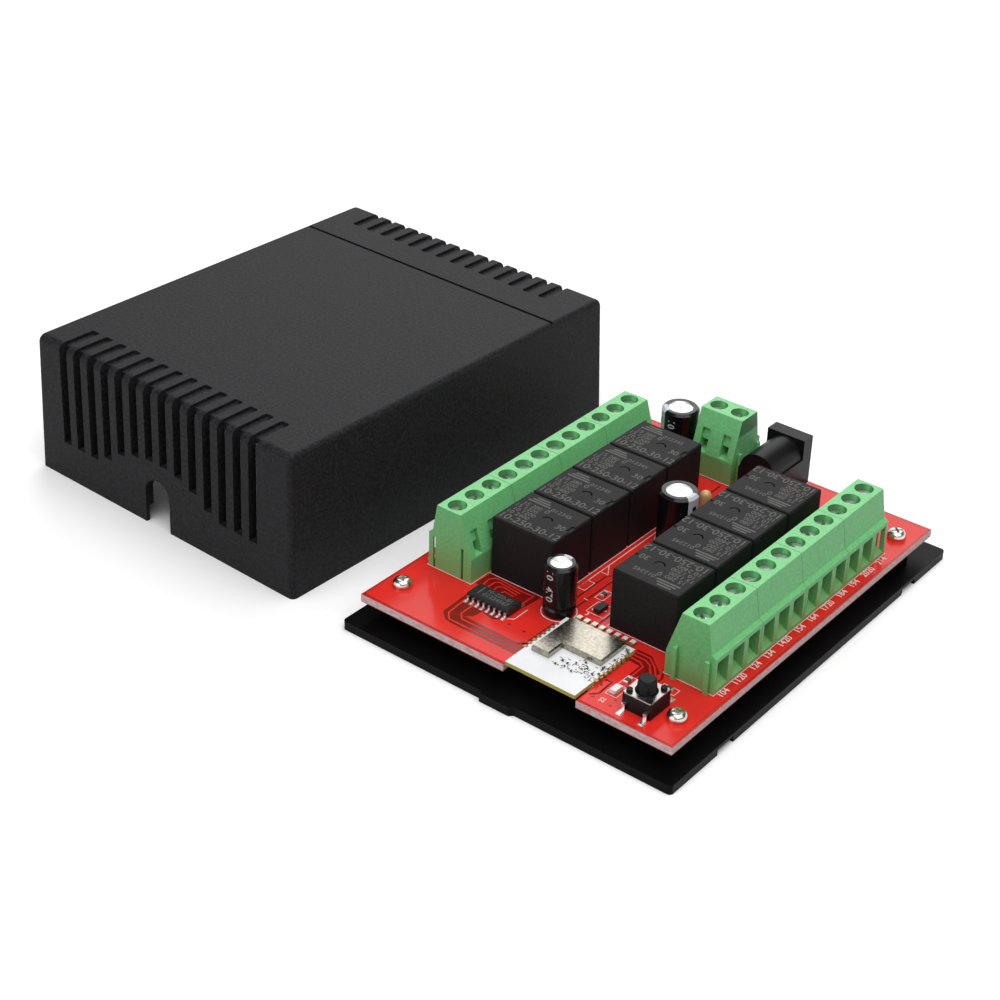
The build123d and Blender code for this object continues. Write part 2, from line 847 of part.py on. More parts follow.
with BuildPart() as module_shield:
    left = module_left + shield_left
    right = module_left + module_width - shield_right
    with BuildSketch(Plane.XY.offset(board_top + module_thickness)):
        Polygon(
            on_board(left, module_front + shield_front),
            on_board(left + shield_leg, module_front + shield_front),
            on_board(left + shield_leg, module_front + shield_middle),
            on_board(right, module_front + shield_middle),
            on_board(right, module_back - shield_back),
            on_board(left, module_back - shield_back),
            align=None,
        )
    extrude(amount=shield_height)
    chamfer(module_shield.edges().group_by(Axis.Z)[-1], shield_edge)
save(module_shield, "module_shield")

# Driver chip with gull-wing leads along both long sides
chip_foot = board_top + chip_standoff
with BuildPart() as driver_chip:
    with BuildSketch(Plane.XY.offset(chip_foot)):
        with Locations(on_board(chip_x, chip_y)):
            Rectangle(chip_length, chip_width)
    extrude(amount=chip_height)
    chamfer(driver_chip.edges().group_by(Axis.Z)[-1], chip_bevel)
    with BuildSketch(Plane.XY.offset(chip_foot + chip_height)):
        with Locations(on_board(chip_x + chip_length / 2, chip_y)):
            Circle(chip_width / 8)
    extrude(amount=-chip_bevel, mode=Mode.SUBTRACT)
save(driver_chip, "driver_chip")


def gull_wing(height, reach, foot, thickness):
    """The outline of a bent lead: out of the body, down, and out again on the board."""
    return [
        (0, height - thickness),
        (reach - foot - thickness, height - thickness),
        (reach - foot - thickness, 0),
        (reach, 0),
        (reach, thickness),
        (reach - foot, thickness),
        (reach - foot, height),
        (0, height),
    ]


with BuildPart() as one_chip_lead:
    with BuildSketch(Plane((-lead_size / 2, 0, 0), x_dir=(0, 1, 0), z_dir=(1, 0, 0))):
        Polygon(*gull_wing(lead_height, lead_reach, lead_foot, lead_thickness), align=None)
    extrude(amount=lead_size)

with BuildPart() as driver_chip_leads:
    for side, turn in ((-1, 180), (1, 0)):
        lead_place = (*on_board(chip_x, chip_y + side * chip_width / 2), board_top)
        with Locations(Location(lead_place, (0, 0, turn))):
            with GridLocations(lead_pitch, 1, leads_per_side, 1):
                add(one_chip_lead.part, clean=False)
save(driver_chip_leads, "driver_chip_leads")

# Push button: body with the well for the dome, metal plate held by four rivets, plunger, legs
button_centre = on_board(button_x, button_y)
button_top = board_top + button_body_height
rivet_spacing = button_size - 2 * rivet_inset
flange_foot = button_top - plunger_flange
dome_foot = flange_foot - plunger_travel - dome_rise - dome_thickness
with BuildPart() as button_body:
    with BuildSketch(Plane.XY.offset(board_top)):
        with Locations(button_centre):
            Rectangle(button_size, button_size)
    extrude(amount=button_body_height)
    with BuildSketch(Plane.XY.offset(button_top)):
        with Locations(button_centre):
            with GridLocations(rivet_spacing, rivet_spacing, 2, 2):
                Circle(rivet_diameter / 2)
    extrude(amount=button_plate_thickness + rivet_rise)
    with BuildSketch(Plane.XY.offset(button_top)):
        with Locations(button_centre):
            Circle(plunger_flange_diameter / 2 + plunger_clearance)
    extrude(amount=dome_foot - button_top, mode=Mode.SUBTRACT)
save(button_body, "button_body")

with BuildPart() as button_plate:
    with BuildSketch(Plane.XY.offset(button_top)):
        with Locations(button_centre):
            RectangleRounded(button_size, button_size, rivet_inset / 2)
            Circle(plunger_diameter / 2 + plunger_clearance, mode=Mode.SUBTRACT)
            with GridLocations(rivet_spacing, rivet_spacing, 2, 2):
                Circle(rivet_diameter / 2 + rivet_clearance, mode=Mode.SUBTRACT)
    extrude(amount=button_plate_thickness)
save(button_plate, "button_plate")

with BuildPart() as button_plunger:
    with BuildSketch(Plane.XY.offset(flange_foot)):
        with Locations(button_centre):
            Circle(plunger_flange_diameter / 2)
    extrude(amount=plunger_flange)
    with BuildSketch(Plane((*button_centre, 0), x_dir=(1, 0, 0), z_dir=(0, -1, 0))):
        Polygon(
            (0, button_top),
            (plunger_diameter / 2, button_top),
            (plunger_top_diameter / 2, board_top + plunger_top),
            (0, board_top + plunger_top),
            align=None,
        )
    revolve(axis=Axis((*button_centre, 0), (0, 0, 1)))
    chamfer(button_plunger.edges().group_by(Axis.Z)[-1], plunger_top_diameter / 14)
save(button_plunger, "button_plunger")

with BuildPart() as button_dome:
    with BuildSketch(Plane((*button_centre, 0), x_dir=(1, 0, 0), z_dir=(0, -1, 0))):
        Polygon(
            (0, dome_foot + dome_rise),
            (dome_diameter / 4, dome_foot + dome_rise),
            (dome_diameter / 2, dome_foot),
            (dome_diameter / 2, dome_foot + dome_thickness),
            (dome_diameter / 4, dome_foot + dome_rise + dome_thickness),
            (0, dome_foot + dome_rise + dome_thickness),
            align=None,
        )
    revolve(axis=Axis((*button_centre, 0), (0, 0, 1)))
save(button_dome, "button_dome")

with BuildPart() as one_button_leg:
    with BuildSketch(Plane((-leg_width / 2, 0, 0), x_dir=(0, 1, 0), z_dir=(1, 0, 0))):
        Polygon(*gull_wing(leg_height, leg_reach, leg_foot, leg_thickness), align=None)
    extrude(amount=leg_width)

with BuildPart() as button_legs:
    for side, turn in ((-1, 180), (1, 0)):
        leg_place = (button_centre[0], button_centre[1] + side * button_size / 2, board_top)
        with Locations(Location(leg_place, (0, 0, turn))):
            with GridLocations(leg_spread, 1, 2, 1):
                add(one_button_leg.part, clean=False)
save(button_legs, "button_legs")

# Small parts
with BuildPart() as indicator_lamp:
    with BuildSketch(Plane.XY.offset(board_top)):
        with Locations(on_board(lamp_x, lamp_y)):
            Rectangle(lamp_width, lamp_length)
    extrude(amount=lamp_height)
save(indicator_lamp, "indicator_lamp")

with BuildPart() as chip_parts:
    with BuildSketch(Plane.XY.offset(board_top)):
        for x, y, turn in chip_part_places:
            with Locations(on_board(x, y)):
                Rectangle(chip_part_width, chip_part_length, rotation=turn)
    extrude(amount=chip_part_height)
save(chip_parts, "chip_parts")

with BuildPart() as transistors:
    with BuildSketch(Plane.XY.offset(board_top)):
        with Locations(*[on_board(*place) for place in transistor_places]):
            Rectangle(transistor_width, transistor_length)
    extrude(amount=transistor_height)
save(transistors, "transistors")

with BuildPart() as transistor_leads:
    with BuildSketch(Plane.XY.offset(board_top)):
        for place in transistor_places:
            x, y = on_board(*place)
            reach = (transistor_width + transistor_lead_length) / 2
            third = transistor_length / 3
            with Locations((x - reach, y - third), (x - reach, y + third), (x + reach, y)):
                Rectangle(transistor_lead_length, transistor_lead_width)
    extrude(amount=transistor_lead_height)
save(transistor_leads, "transistor_leads")

bead_foot = board_top + bead_rise
bead_foot_radius = (bead_lead_spread + lead_width) / 2 + pin_clearance
with BuildPart() as bead_capacitor:
    with BuildSketch(Plane((*on_board(*bead_place), 0), x_dir=(1, 0, 0), z_dir=(0, -1, 0))):
        with BuildLine():
            Line((0, bead_foot + bead_height), (0, bead_foot))
            Line((0, bead_foot), (bead_foot_radius, bead_foot))
            Spline(
                (bead_foot_radius, bead_foot),
                (bead_diameter / 2, bead_foot + bead_height * 0.5),
                (0, bead_foot + bead_height),
                tangents=[(0.4, 1), (-1, 0)],
            )
        make_face()
    revolve(axis=Axis((*on_board(*bead_place), 0), (0, 0, 1)))
save(bead_capacitor, "bead_capacitor")

with BuildPart() as bead_leads:
    with BuildSketch(Plane.XY.offset(bead_foot)):
        with Locations(*[on_board(*place) for place in bead_lead_list]):
            Rectangle(lead_width, lead_width)
    extrude(amount=-bead_rise - pin_length)
save(bead_leads, "bead_leads")

# Cover, drawn about its own middle: leaning walls, rounded edges, slots in both end walls that
# turn over the top edge into shallow recesses, a cable notch below them in front
cover_width = board_width + 2 * (cover_clearance_x + cover_wall)
cover_length = board_length + 2 * (cover_clearance_y + cover_wall)
cover_seat = Plane(
    (-plate_width / 2 - cover_gap - cover_width / 2, cover_slide, 0),
    x_dir=(cos(radians(cover_turn)), sin(radians(cover_turn)), 0),
    z_dir=(0, 0, 1),
)
cover_front = plane_on(cover_seat, (0, -cover_length / 2, 0), (1, 0, 0), (0, -1, 0))
cover_taper = degrees(atan(cover_lean / cover_height))
slot_depth = cover_wall + cover_lean


def slot_bottom(x):
    """The slots end above a straight line, and above an arch over the notch."""
    arch = arch_top - arch_radius + sqrt(max(arch_radius**2 - (x + ends_offset) ** 2, 0))
    return max(slot_foot, arch)


with BuildPart() as cover:
    with BuildSketch(cover_seat):
        Rectangle(cover_width, cover_length)
    extrude(amount=cover_height, taper=cover_taper)
    # Wide rounding over both ends, then one even rounding round each side wall
    top_edges = cover.edges().group_by(Axis.Z)[-1].sort_by(Edge.length)
    fillet(top_edges[:2], cover_end_edge)
    side_walls = cover.faces().sort_by(SortBy.AREA)[-4:-2]
    side_edges = [edge for wall in side_walls for edge in wall.edges() if edge.center().Z > 0.1]
    fillet(side_edges, cover_side_edge)
    with BuildSketch(cover_seat):
        Rectangle(cover_width - 2 * cover_wall, cover_length - 2 * cover_wall)
    extrude(amount=cover_height - cover_wall, taper=cover_taper, mode=Mode.SUBTRACT)
    # Thinner rim round the foot
    with BuildSketch(cover_seat):
        Rectangle(cover_width - 2 * cover_rim_thickness, cover_length - 2 * cover_rim_thickness)
    extrude(amount=cover_rim_height, mode=Mode.SUBTRACT)
    # Slots through the end walls
    slot_places = [(n - (slot_count - 1) / 2) * slot_pitch - ends_offset for n in range(slot_count)]
    for end in (-slot_depth, cover_length - slot_depth):
        with BuildSketch(plane_on(cover_front, (0, 0, -end - slot_depth), (1, 0, 0), (0, 0, 1))):
            for x in slot_places:
                with Locations((x, (slot_bottom(x) + cover_height) / 2)):
                    Rectangle(slot_width, cover_height - slot_bottom(x))
        extrude(amount=slot_depth if end > 0 else -slot_depth, mode=Mode.SUBTRACT)
    # Recesses on top
    with BuildSketch(cover_seat.offset(cover_height)):
        for x in slot_places:
            with Locations((x, -cover_length / 2)):
                RectangleRounded(slot_width, 2 * slot_wrap_front, slot_rounding)
            with Locations((x, cover_length / 2)):
                RectangleRounded(slot_width, 2 * slot_wrap_back, slot_rounding)
    extrude(amount=-slot_recess, mode=Mode.SUBTRACT)
    # Cable notch in the front wall, below the middle of the slots
    with BuildSketch(plane_on(cover_front, (-ends_offset, 0, 0), (1, 0, 0), (0, 0, 1))):
        with BuildLine():
            Line((-notch_width / 2, notch_jamb), (-notch_width / 2, 0))
            Line((-notch_width / 2, 0), (notch_width / 2, 0))
            Line((notch_width / 2, 0), (notch_width / 2, notch_jamb))
            ThreePointArc(
                (notch_width / 2, notch_jamb),
                (0, notch_jamb + notch_rise),
                (-notch_width / 2, notch_jamb),
            )
        make_face()
    extrude(amount=-slot_depth, mode=Mode.SUBTRACT)
    # Fine groove across the top
    with BuildSketch(cover_seat.offset(cover_height)):
        with Locations((0, groove_place - cover_length / 2)):
            Rectangle(cover_width, groove_width)
    extrude(amount=-groove_depth, mode=Mode.SUBTRACT)
save(cover, "cover")
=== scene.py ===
import math
import random

import bmesh
import bpy
from mathutils import Matrix, Vector


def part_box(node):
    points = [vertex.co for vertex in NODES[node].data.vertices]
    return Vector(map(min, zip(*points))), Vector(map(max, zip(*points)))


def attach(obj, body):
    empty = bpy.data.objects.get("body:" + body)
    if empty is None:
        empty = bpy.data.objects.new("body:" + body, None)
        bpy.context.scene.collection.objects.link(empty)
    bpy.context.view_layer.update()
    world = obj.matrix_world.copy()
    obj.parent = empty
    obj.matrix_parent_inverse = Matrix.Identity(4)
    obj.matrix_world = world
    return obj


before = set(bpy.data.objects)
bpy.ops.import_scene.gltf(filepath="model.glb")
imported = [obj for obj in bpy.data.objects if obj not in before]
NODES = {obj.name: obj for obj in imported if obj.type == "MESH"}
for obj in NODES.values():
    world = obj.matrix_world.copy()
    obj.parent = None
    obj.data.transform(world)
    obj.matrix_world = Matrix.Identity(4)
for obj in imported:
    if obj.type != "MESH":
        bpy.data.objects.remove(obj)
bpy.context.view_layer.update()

bl_info = {
    "name": "Relay Board Dresser",
    "version": (1, 0, 0),
    "blender": (4, 5, 0),
    "location": "View3D > Sidebar > Relay Board",
    "description": "Finishes, prints, copper tracks and solder for a relay board with its cover",
    "category": "Object",
}

MM = 0.001
MAIN_BODY = "board"

BOARD_LOW, BOARD_HIGH = [Vector(corner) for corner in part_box("circuit_board")]
# Thickness of the lines on the board, and how far the figures printed on it are lifted
LIFT = 0.012 * MM


def on_board(x, y, z=0.0):
    """A point given in millimetres from the board's front left corner and its top face."""
    return Vector((BOARD_LOW.x + x * MM, BOARD_LOW.y + y * MM, BOARD_HIGH.z + z * MM))


def node_middle(name):
    low, high = [Vector(corner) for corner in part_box(name)]
    return (low + high) / 2


def node_top(name):
    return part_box(name)[1][2]


# Finishes


def start_finish(name, colour, roughness, metallic=0.0, coat=0.0, gloss=0.5):
    """A material with its plain numbers on the shader's own sockets."""
    finish = bpy.data.materials.new(name)
    finish.use_nodes = True
    shader = finish.node_tree.nodes["Principled BSDF"]
    shader.inputs["Base Color"].default_value = (*colour, 1)
    shader.inputs["Roughness"].default_value = roughness
    shader.inputs["Metallic"].default_value = metallic
    shader.inputs["Coat Weight"].default_value = coat
    shader.inputs["Coat Roughness"].default_value = 0.08
    shader.inputs["Specular IOR Level"].default_value = gloss
    return finish, finish.node_tree, shader


def object_position(tree):
    return tree.nodes.new("ShaderNodeTexCoord").outputs["Object"]


def noise_of(tree, scale, detail=2.0, roughness=0.5, stretch=None):
    """Noise on Object coordinates; the scale is in waves per metre."""
    noise = tree.nodes.new("ShaderNodeTexNoise")
    noise.inputs["Scale"].default_value = scale
    noise.inputs["Detail"].default_value = detail
    noise.inputs["Roughness"].default_value = roughness
    place = object_position(tree)
    if stretch:
        mapping = tree.nodes.new("ShaderNodeMapping")
        mapping.inputs["Scale"].default_value = stretch
        tree.links.new(place, mapping.inputs["Vector"])
        place = mapping.outputs["Vector"]
    tree.links.new(place, noise.inputs["Vector"])
    return noise.outputs["Fac"]


def ramp_of(tree, value, stops):
    """A colour ramp through (place, colour) stops."""
    ramp = tree.nodes.new("ShaderNodeValToRGB")
    elements = ramp.color_ramp.elements
    while len(elements) < len(stops):
        elements.new(0.5)
    for element, (place, colour) in zip(elements, stops):
        element.position = place
        element.color = (*colour, 1)
    tree.links.new(value, ramp.inputs["Fac"])
    return ramp.outputs["Color"]


def math_of(tree, kind, first, second=None, third=None):
    """A math node; each input is a socket or a number."""
    node = tree.nodes.new("ShaderNodeMath")
    node.operation = kind
    for socket, value in zip(node.inputs, (first, second, third)):
        if value is None:
            continue
        if isinstance(value, (int, float)):
            socket.default_value = value
        else:
            tree.links.new(value, socket)
    return node.outputs["Value"]


def mix_colour(tree, factor, first, second):
    """Two colours mixed: each is a socket or a plain colour, the share a socket or a number."""
    node = tree.nodes.new("ShaderNodeMix")
    node.data_type = "RGBA"
    if isinstance(factor, float):
        node.inputs["Factor"].default_value = factor
    else:
        tree.links.new(factor, node.inputs["Factor"])
    for socket, value in ((node.inputs[6], first), (node.inputs[7], second)):
        if isinstance(value, tuple):
            socket.default_value = (*value, 1)
        else:
            tree.links.new(value, socket)
    return node.outputs[2]


def add_bump(tree, shader, height, strength, distance):
    bump = tree.nodes.new("ShaderNodeBump")
    bump.inputs["Strength"].default_value = strength
    bump.inputs["Distance"].default_value = distance
    tree.links.new(height, bump.inputs["Height"])
    tree.links.new(bump.outputs["Normal"], shader.inputs["Normal"])


def vary_roughness(tree, shader, value, low, high):
    spread = tree.nodes.new("ShaderNodeMapRange")
    spread.inputs["To Min"].default_value = low
    spread.inputs["To Max"].default_value = high
    tree.links.new(value, spread.inputs["Value"])
    tree.links.new(spread.outputs["Result"], shader.inputs["Roughness"])


def darker(colour, share):
    return tuple(channel * share for channel in colour)


def tint_of(tree, value, colour, dark, bright):
    """A colour that runs between two shares of itself: each is (place on the ramp, share)."""
    stops = [(place, darker(colour, share)) for place, share in (dark, bright)]
    return ramp_of(tree, value, stops)


def moulded_plastic(
    name, colour, roughness=0.5, grain=2600, depth=0.02, spread=0.12,
    coat=0.0, gloss=0.35, speckle=0.0,
):
    """Injection-moulded plastic: fine grain, with slight clouding and speckle of its colour."""
    finish, tree, shader = start_finish(name, colour, roughness, coat=coat, gloss=gloss)
    cloud = noise_of(tree, 90, detail=3)
    tint = tint_of(tree, cloud, colour, (0.3, 1 - spread), (0.7, 1 + spread))
    fine = noise_of(tree, grain, detail=3, roughness=0.6)
    if speckle:
        dots = tint_of(tree, fine, colour, (0.38, 1 - speckle), (0.64, 1 + 1.6 * speckle))
        tint = mix_colour(tree, 0.5, tint, dots)
    tree.links.new(tint, shader.inputs["Base Color"])
    add_bump(tree, shader, fine, 0.35, depth * MM)
    vary_roughness(tree, shader, fine, roughness - 0.08, roughness + 0.1)
    return finish


def plated_metal(name, colour, roughness=0.25, grain=900, stretch=None):
    """Plated metal with faint streaks and uneven gloss."""
    finish, tree, shader = start_finish(name, colour, roughness, metallic=1.0)
    streak = noise_of(tree, grain, detail=4, roughness=0.6, stretch=stretch)
    tint = tint_of(tree, streak, colour, (0.25, 0.78), (0.75, 1.08))
    tree.links.new(tint, shader.inputs["Base Color"])
    vary_roughness(tree, shader, streak, max(roughness - 0.1, 0.05), roughness + 0.15)
    add_bump(tree, shader, streak, 0.15, 0.01 * MM)
    return finish


def split_axes(tree, vector):
    parts = tree.nodes.new("ShaderNodeSeparateXYZ")
    tree.links.new(vector, parts.inputs["Vector"])
    return parts.outputs


def surface_normal(tree):
    return tree.nodes.new("ShaderNodeNewGeometry").outputs["True Normal"]


# Height of the darker line along the foot of the board's cut edges
UNDER_LINE_HEIGHT = 0.16 * MM


def laminate(name, face, edge, edge_streak, roughness=0.16, gloss=0.3, under_line=None):
    """A lacquered board: coloured faces, pale fibre layers along its cut edges."""
    finish, tree, shader = start_finish(name, face, roughness, gloss=gloss)
    upright = math_of(tree, "ABSOLUTE", split_axes(tree, surface_normal(tree))["Z"])
    is_edge = math_of(tree, "LESS_THAN", upright, 0.5)
    cloud = noise_of(tree, 160, detail=3)
    lacquer = tint_of(tree, cloud, face, (0.3, 0.95), (0.7, 1.04))
    layers = noise_of(tree, 900, detail=4, roughness=0.75, stretch=(1, 1, 2.5))
    fibre = ramp_of(tree, layers, [(0.32, edge_streak), (0.6, edge)])
    if under_line:
        level = split_axes(tree, object_position(tree))["Z"]
        is_low = math_of(tree, "LESS_THAN", level, BOARD_LOW.z + UNDER_LINE_HEIGHT)
        fibre = mix_colour(tree, is_low, fibre, under_line)
    tree.links.new(mix_colour(tree, is_edge, lacquer, fibre), shader.inputs["Base Color"])
    rough = math_of(tree, "MULTIPLY_ADD", is_edge, 0.5, roughness)
    tree.links.new(rough, shader.inputs["Roughness"])
    weave = noise_of(tree, 1500, detail=2)
    add_bump(tree, shader, weave, 0.1, 0.01 * MM)
    return finish


def ink(name, colour, roughness=0.55, gloss=0.3):
    """Printed ink, a little worn and uneven."""
    finish, tree, shader = start_finish(name, colour, roughness, gloss=gloss)
    patchy = noise_of(tree, 3000, detail=2)
    tint = tint_of(tree, patchy, colour, (0.25, 0.78), (0.6, 1.0))
    tree.links.new(tint, shader.inputs["Base Color"])
    add_bump(tree, shader, patchy, 0.1, 0.005 * MM)
    return finish


# Dashes over a sleeve's height, the middle and half length of each as shares of one,
# and their width as a share of the stripe's
SLEEVE_DASHES = 3.2
SLEEVE_DASH_MIDDLE = 0.45
SLEEVE_DASH_HALF = 0.17
SLEEVE_DASH_WIDTH = 0.35


def shrink_sleeve(name, colour, stripe_colour, middle, stripe_turn, stripe_half, foot, height):
    """A glossy sleeve, round an upright axis, with dark dashes in a pale stripe down one side."""
    finish, tree, shader = start_finish(name, colour, roughness=0.2, gloss=0.3)
    mapping = tree.nodes.new("ShaderNodeMapping")
    mapping.inputs["Location"].default_value = (-middle[0], -middle[1], -foot)
    tree.links.new(object_position(tree), mapping.inputs["Vector"])
    place = split_axes(tree, mapping.outputs["Vector"])
    turned = math_of(tree, "ARCTAN2", place["Y"], place["X"])
    away = math_of(tree, "SUBTRACT", turned, stripe_turn)
    wrapped = math_of(tree, "ABSOLUTE", math_of(tree, "WRAP", away, math.pi, -math.pi))
    in_stripe = math_of(tree, "LESS_THAN", wrapped, stripe_half)
    level = math_of(tree, "DIVIDE", place["Z"], height)
    wave = math_of(tree, "FRACT", math_of(tree, "MULTIPLY", level, SLEEVE_DASHES))
    dash = math_of(tree, "COMPARE", wave, SLEEVE_DASH_MIDDLE, SLEEVE_DASH_HALF)
    thin = math_of(tree, "LESS_THAN", wrapped, stripe_half * SLEEVE_DASH_WIDTH)
    dashed = math_of(tree, "MULTIPLY", dash, thin)
    stripe = mix_colour(tree, dashed, stripe_colour, colour)
    worn = noise_of(tree, 1800, detail=3)
    sleeve = tint_of(tree, worn, colour, (0.3, 0.7), (0.7, 1.3))
    tree.links.new(mix_colour(tree, in_stripe, sleeve, stripe), shader.inputs["Base Color"])
    add_bump(tree, shader, noise_of(tree, 420, detail=2), 0.35, 0.05 * MM)
    return finish


def give_finish(finish, *names):
    """Puts a finish on CAD nodes."""
    for name in names:
        node = NODES[name]
        node.data.materials.clear()
        node.data.materials.append(finish)


def base_colour_of(shader):
    """The socket that the shader's colour comes from."""
    return shader.inputs["Base Color"].links[0].from_socket


# Meshes


def place_piece(name, mesh, finish=None):
    """Makes a mesh a piece of the part, at the origin, riding on the board's body."""
    mesh.name = name
    if finish is not None:
        mesh.materials.clear()
        mesh.materials.append(finish)
    piece = bpy.data.objects.new(name, mesh)
    bpy.context.scene.collection.objects.link(piece)
    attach(piece, MAIN_BODY)
    return piece


def mesh_from_boxes(boxes):
    """One mesh of small boxes with their edges bevelled: (middle, size, turn about Z, bevel)."""
    shape = bmesh.new()
    for middle, size, turn, bevel in boxes:
        made = bmesh.ops.create_cube(shape, size=1.0)
        corners = made["verts"]
        bmesh.ops.scale(shape, vec=size, verts=corners)
        if bevel:
            edges = list({edge for corner in corners for edge in corner.link_edges})
            bevelled = bmesh.ops.bevel(
                shape, geom=edges, offset=bevel, segments=2, profile=0.5, affect="EDGES"
            )
            rounded = {corner for face in bevelled["faces"] for corner in face.verts}
            corners = list(rounded | {corner for corner in corners if corner.is_valid})
        turned = Matrix.Rotation(turn, 3, "Z")
        bmesh.ops.rotate(shape, cent=(0, 0, 0), matrix=turned, verts=corners)
        bmesh.ops.translate(shape, vec=middle, verts=corners)
    bmesh.ops.recalc_face_normals(shape, faces=shape.faces)
    mesh = bpy.data.meshes.new("boxes")
    shape.to_mesh(mesh)
    shape.free()
    return mesh


def print_mesh(words, thickness=0.008 * MM, weight=0.012):
    """Printed figures as one mesh: each is (text, place, turn about Z, size).

    The weight thickens the strokes, as a share of a figure's size.
    """
    joined = bmesh.new()
    for text, place, turn, height in words:
        curve = bpy.data.curves.new("figures", "FONT")
        curve.body = text
        curve.size = height
        curve.extrude = thickness
        curve.align_x = "CENTER"
        curve.align_y = "CENTER"
        curve.resolution_u = 3
        curve.offset = weight * height
        holder = bpy.data.objects.new("figures", curve)
        bpy.context.scene.collection.objects.link(holder)
        bpy.context.view_layer.update()
        flat = bpy.data.meshes.new_from_object(holder)
        flat.transform(Matrix.Translation(place) @ Matrix.Rotation(turn, 4, "Z"))
        joined.from_mesh(flat)
        bpy.data.objects.remove(holder)
        bpy.data.curves.remove(curve)
        bpy.data.meshes.remove(flat)
    mesh = bpy.data.meshes.new("figures")
    joined.to_mesh(mesh)
    joined.free()
    return mesh


def flat_areas(outlines, height, thickness):
    """Thin closed slabs with these outlines, all in millimetres on the board."""
    shape = bmesh.new()
    for corners in outlines:
        low = [shape.verts.new(on_board(x, y, height)) for x, y in corners]
        high = [shape.verts.new(on_board(x, y, height + thickness)) for x, y in corners]
        shape.faces.new(low)
        shape.faces.new(high)
        for this, after in zip(range(len(low)), [*range(1, len(low)), 0]):
            shape.faces.new((low[this], low[after], high[after], high[this]))
    bmesh.ops.triangulate(shape, faces=shape.faces)
    bmesh.ops.recalc_face_normals(shape, faces=shape.faces)
    mesh = bpy.data.meshes.new("areas")
    shape.to_mesh(mesh)
    shape.free()
    return mesh


# Geometry Nodes


def start_tree(name, inputs):
    """A node group with a geometry in and out and named inputs: (name, socket type, default)."""
    tree = bpy.data.node_groups.new(name, "GeometryNodeTree")
    tree.interface.new_socket("Geometry", in_out="INPUT", socket_type="NodeSocketGeometry")
    for label, kind, default in inputs:
        socket = tree.interface.new_socket(label, in_out="INPUT", socket_type=kind)
        if default is not None:
            socket.default_value = default
    tree.interface.new_socket("Geometry", in_out="OUTPUT", socket_type="NodeSocketGeometry")
    entry = tree.nodes.new("NodeGroupInput")
    leave = tree.nodes.new("NodeGroupOutput")
    return tree, entry, leave


def end_tree(tree, entry, leave, geometry):
    """Realize Instances and Set Material close every tree."""
    realize = tree.nodes.new("GeometryNodeRealizeInstances")
    finish = tree.nodes.new("GeometryNodeSetMaterial")
    tree.links.new(geometry, realize.inputs["Geometry"])
    tree.links.new(realize.outputs["Geometry"], finish.inputs["Geometry"])
    tree.links.new(entry.outputs["Finish"], finish.inputs["Material"])
    tree.links.new(finish.outputs["Geometry"], leave.inputs["Geometry"])


def line_tree():
    """Flat strips of one width and thickness along lines."""
    tree, entry, leave = start_tree("flat_lines", [
        ("Width", "NodeSocketFloat", 0.2 * MM),
        ("Thickness", "NodeSocketFloat", 0.03 * MM),
        ("Finish", "NodeSocketMaterial", None),
    ])
    upright = tree.nodes.new("GeometryNodeSetCurveNormal")
    upright.mode = "Z_UP"
    section = tree.nodes.new("GeometryNodeCurvePrimitiveQuadrilateral")
    strip = tree.nodes.new("GeometryNodeCurveToMesh")
    strip.inputs["Fill Caps"].default_value = True
    tree.links.new(entry.outputs["Geometry"], upright.inputs["Curve"])
    tree.links.new(entry.outputs["Width"], section.inputs["Width"])
    tree.links.new(entry.outputs["Thickness"], section.inputs["Height"])
    tree.links.new(upright.outputs["Curve"], strip.inputs["Curve"])
    tree.links.new(section.outputs["Curve"], strip.inputs["Profile Curve"])
    end_tree(tree, entry, leave, strip.outputs["Mesh"])
    return tree


def stud_tree():
    """A low cone or disc on every point."""
    tree, entry, leave = start_tree("studs_on_points", [
        ("Radius", "NodeSocketFloat", 0.3 * MM),
        ("Top Radius", "NodeSocketFloat", 0.2 * MM),
        ("Height", "NodeSocketFloat", 0.1 * MM),
        ("Sides", "NodeSocketInt", 14),
        ("Finish", "NodeSocketMaterial", None),
    ])
    cone = tree.nodes.new("GeometryNodeMeshCone")
    spread = tree.nodes.new("GeometryNodeInstanceOnPoints")
    tree.links.new(entry.outputs["Sides"], cone.inputs["Vertices"])
    tree.links.new(entry.outputs["Radius"], cone.inputs["Radius Bottom"])
    tree.links.new(entry.outputs["Top Radius"], cone.inputs["Radius Top"])
    tree.links.new(entry.outputs["Height"], cone.inputs["Depth"])
    tree.links.new(entry.outputs["Geometry"], spread.inputs["Points"])
    tree.links.new(cone.outputs["Mesh"], spread.inputs["Instance"])
    end_tree(tree, entry, leave, spread.outputs["Instances"])
    return tree


def run_tree(tree, source, values):
    """The mesh that a node group makes from a mesh or curve with these named inputs."""
    holder = bpy.data.objects.new("holder", source)
    bpy.context.scene.collection.objects.link(holder)
    modifier = holder.modifiers.new("nodes", "NODES")
    modifier.node_group = tree
    for item in tree.interface.items_tree:
        if item.in_out == "INPUT" and item.name in values:
            modifier[item.identifier] = values[item.name]
    evaluated = holder.evaluated_get(bpy.context.evaluated_depsgraph_get())
    mesh = bpy.data.meshes.new_from_object(evaluated)
    holder.modifiers.remove(modifier)
    bpy.data.objects.remove(holder)
    return mesh


def line_curve(lines, height):
    """Straight-cornered lines at one height above the board: ([(x, y), ...], closed)."""
    curve = bpy.data.curves.new("lines", "CURVE")
    curve.dimensions = "3D"
    for points, closed in lines:
        spline = curve.splines.new("POLY")
        spline.points.add(len(points) - 1)
        for place, (x, y) in zip(spline.points, points):
            place.co = (*on_board(x, y, height), 1)
        spline.use_cyclic_u = closed
    return curve


def point_cloud(places):
    mesh = bpy.data.meshes.new("points")
    mesh.from_pydata([tuple(place) for place in places], [], [])
    return mesh


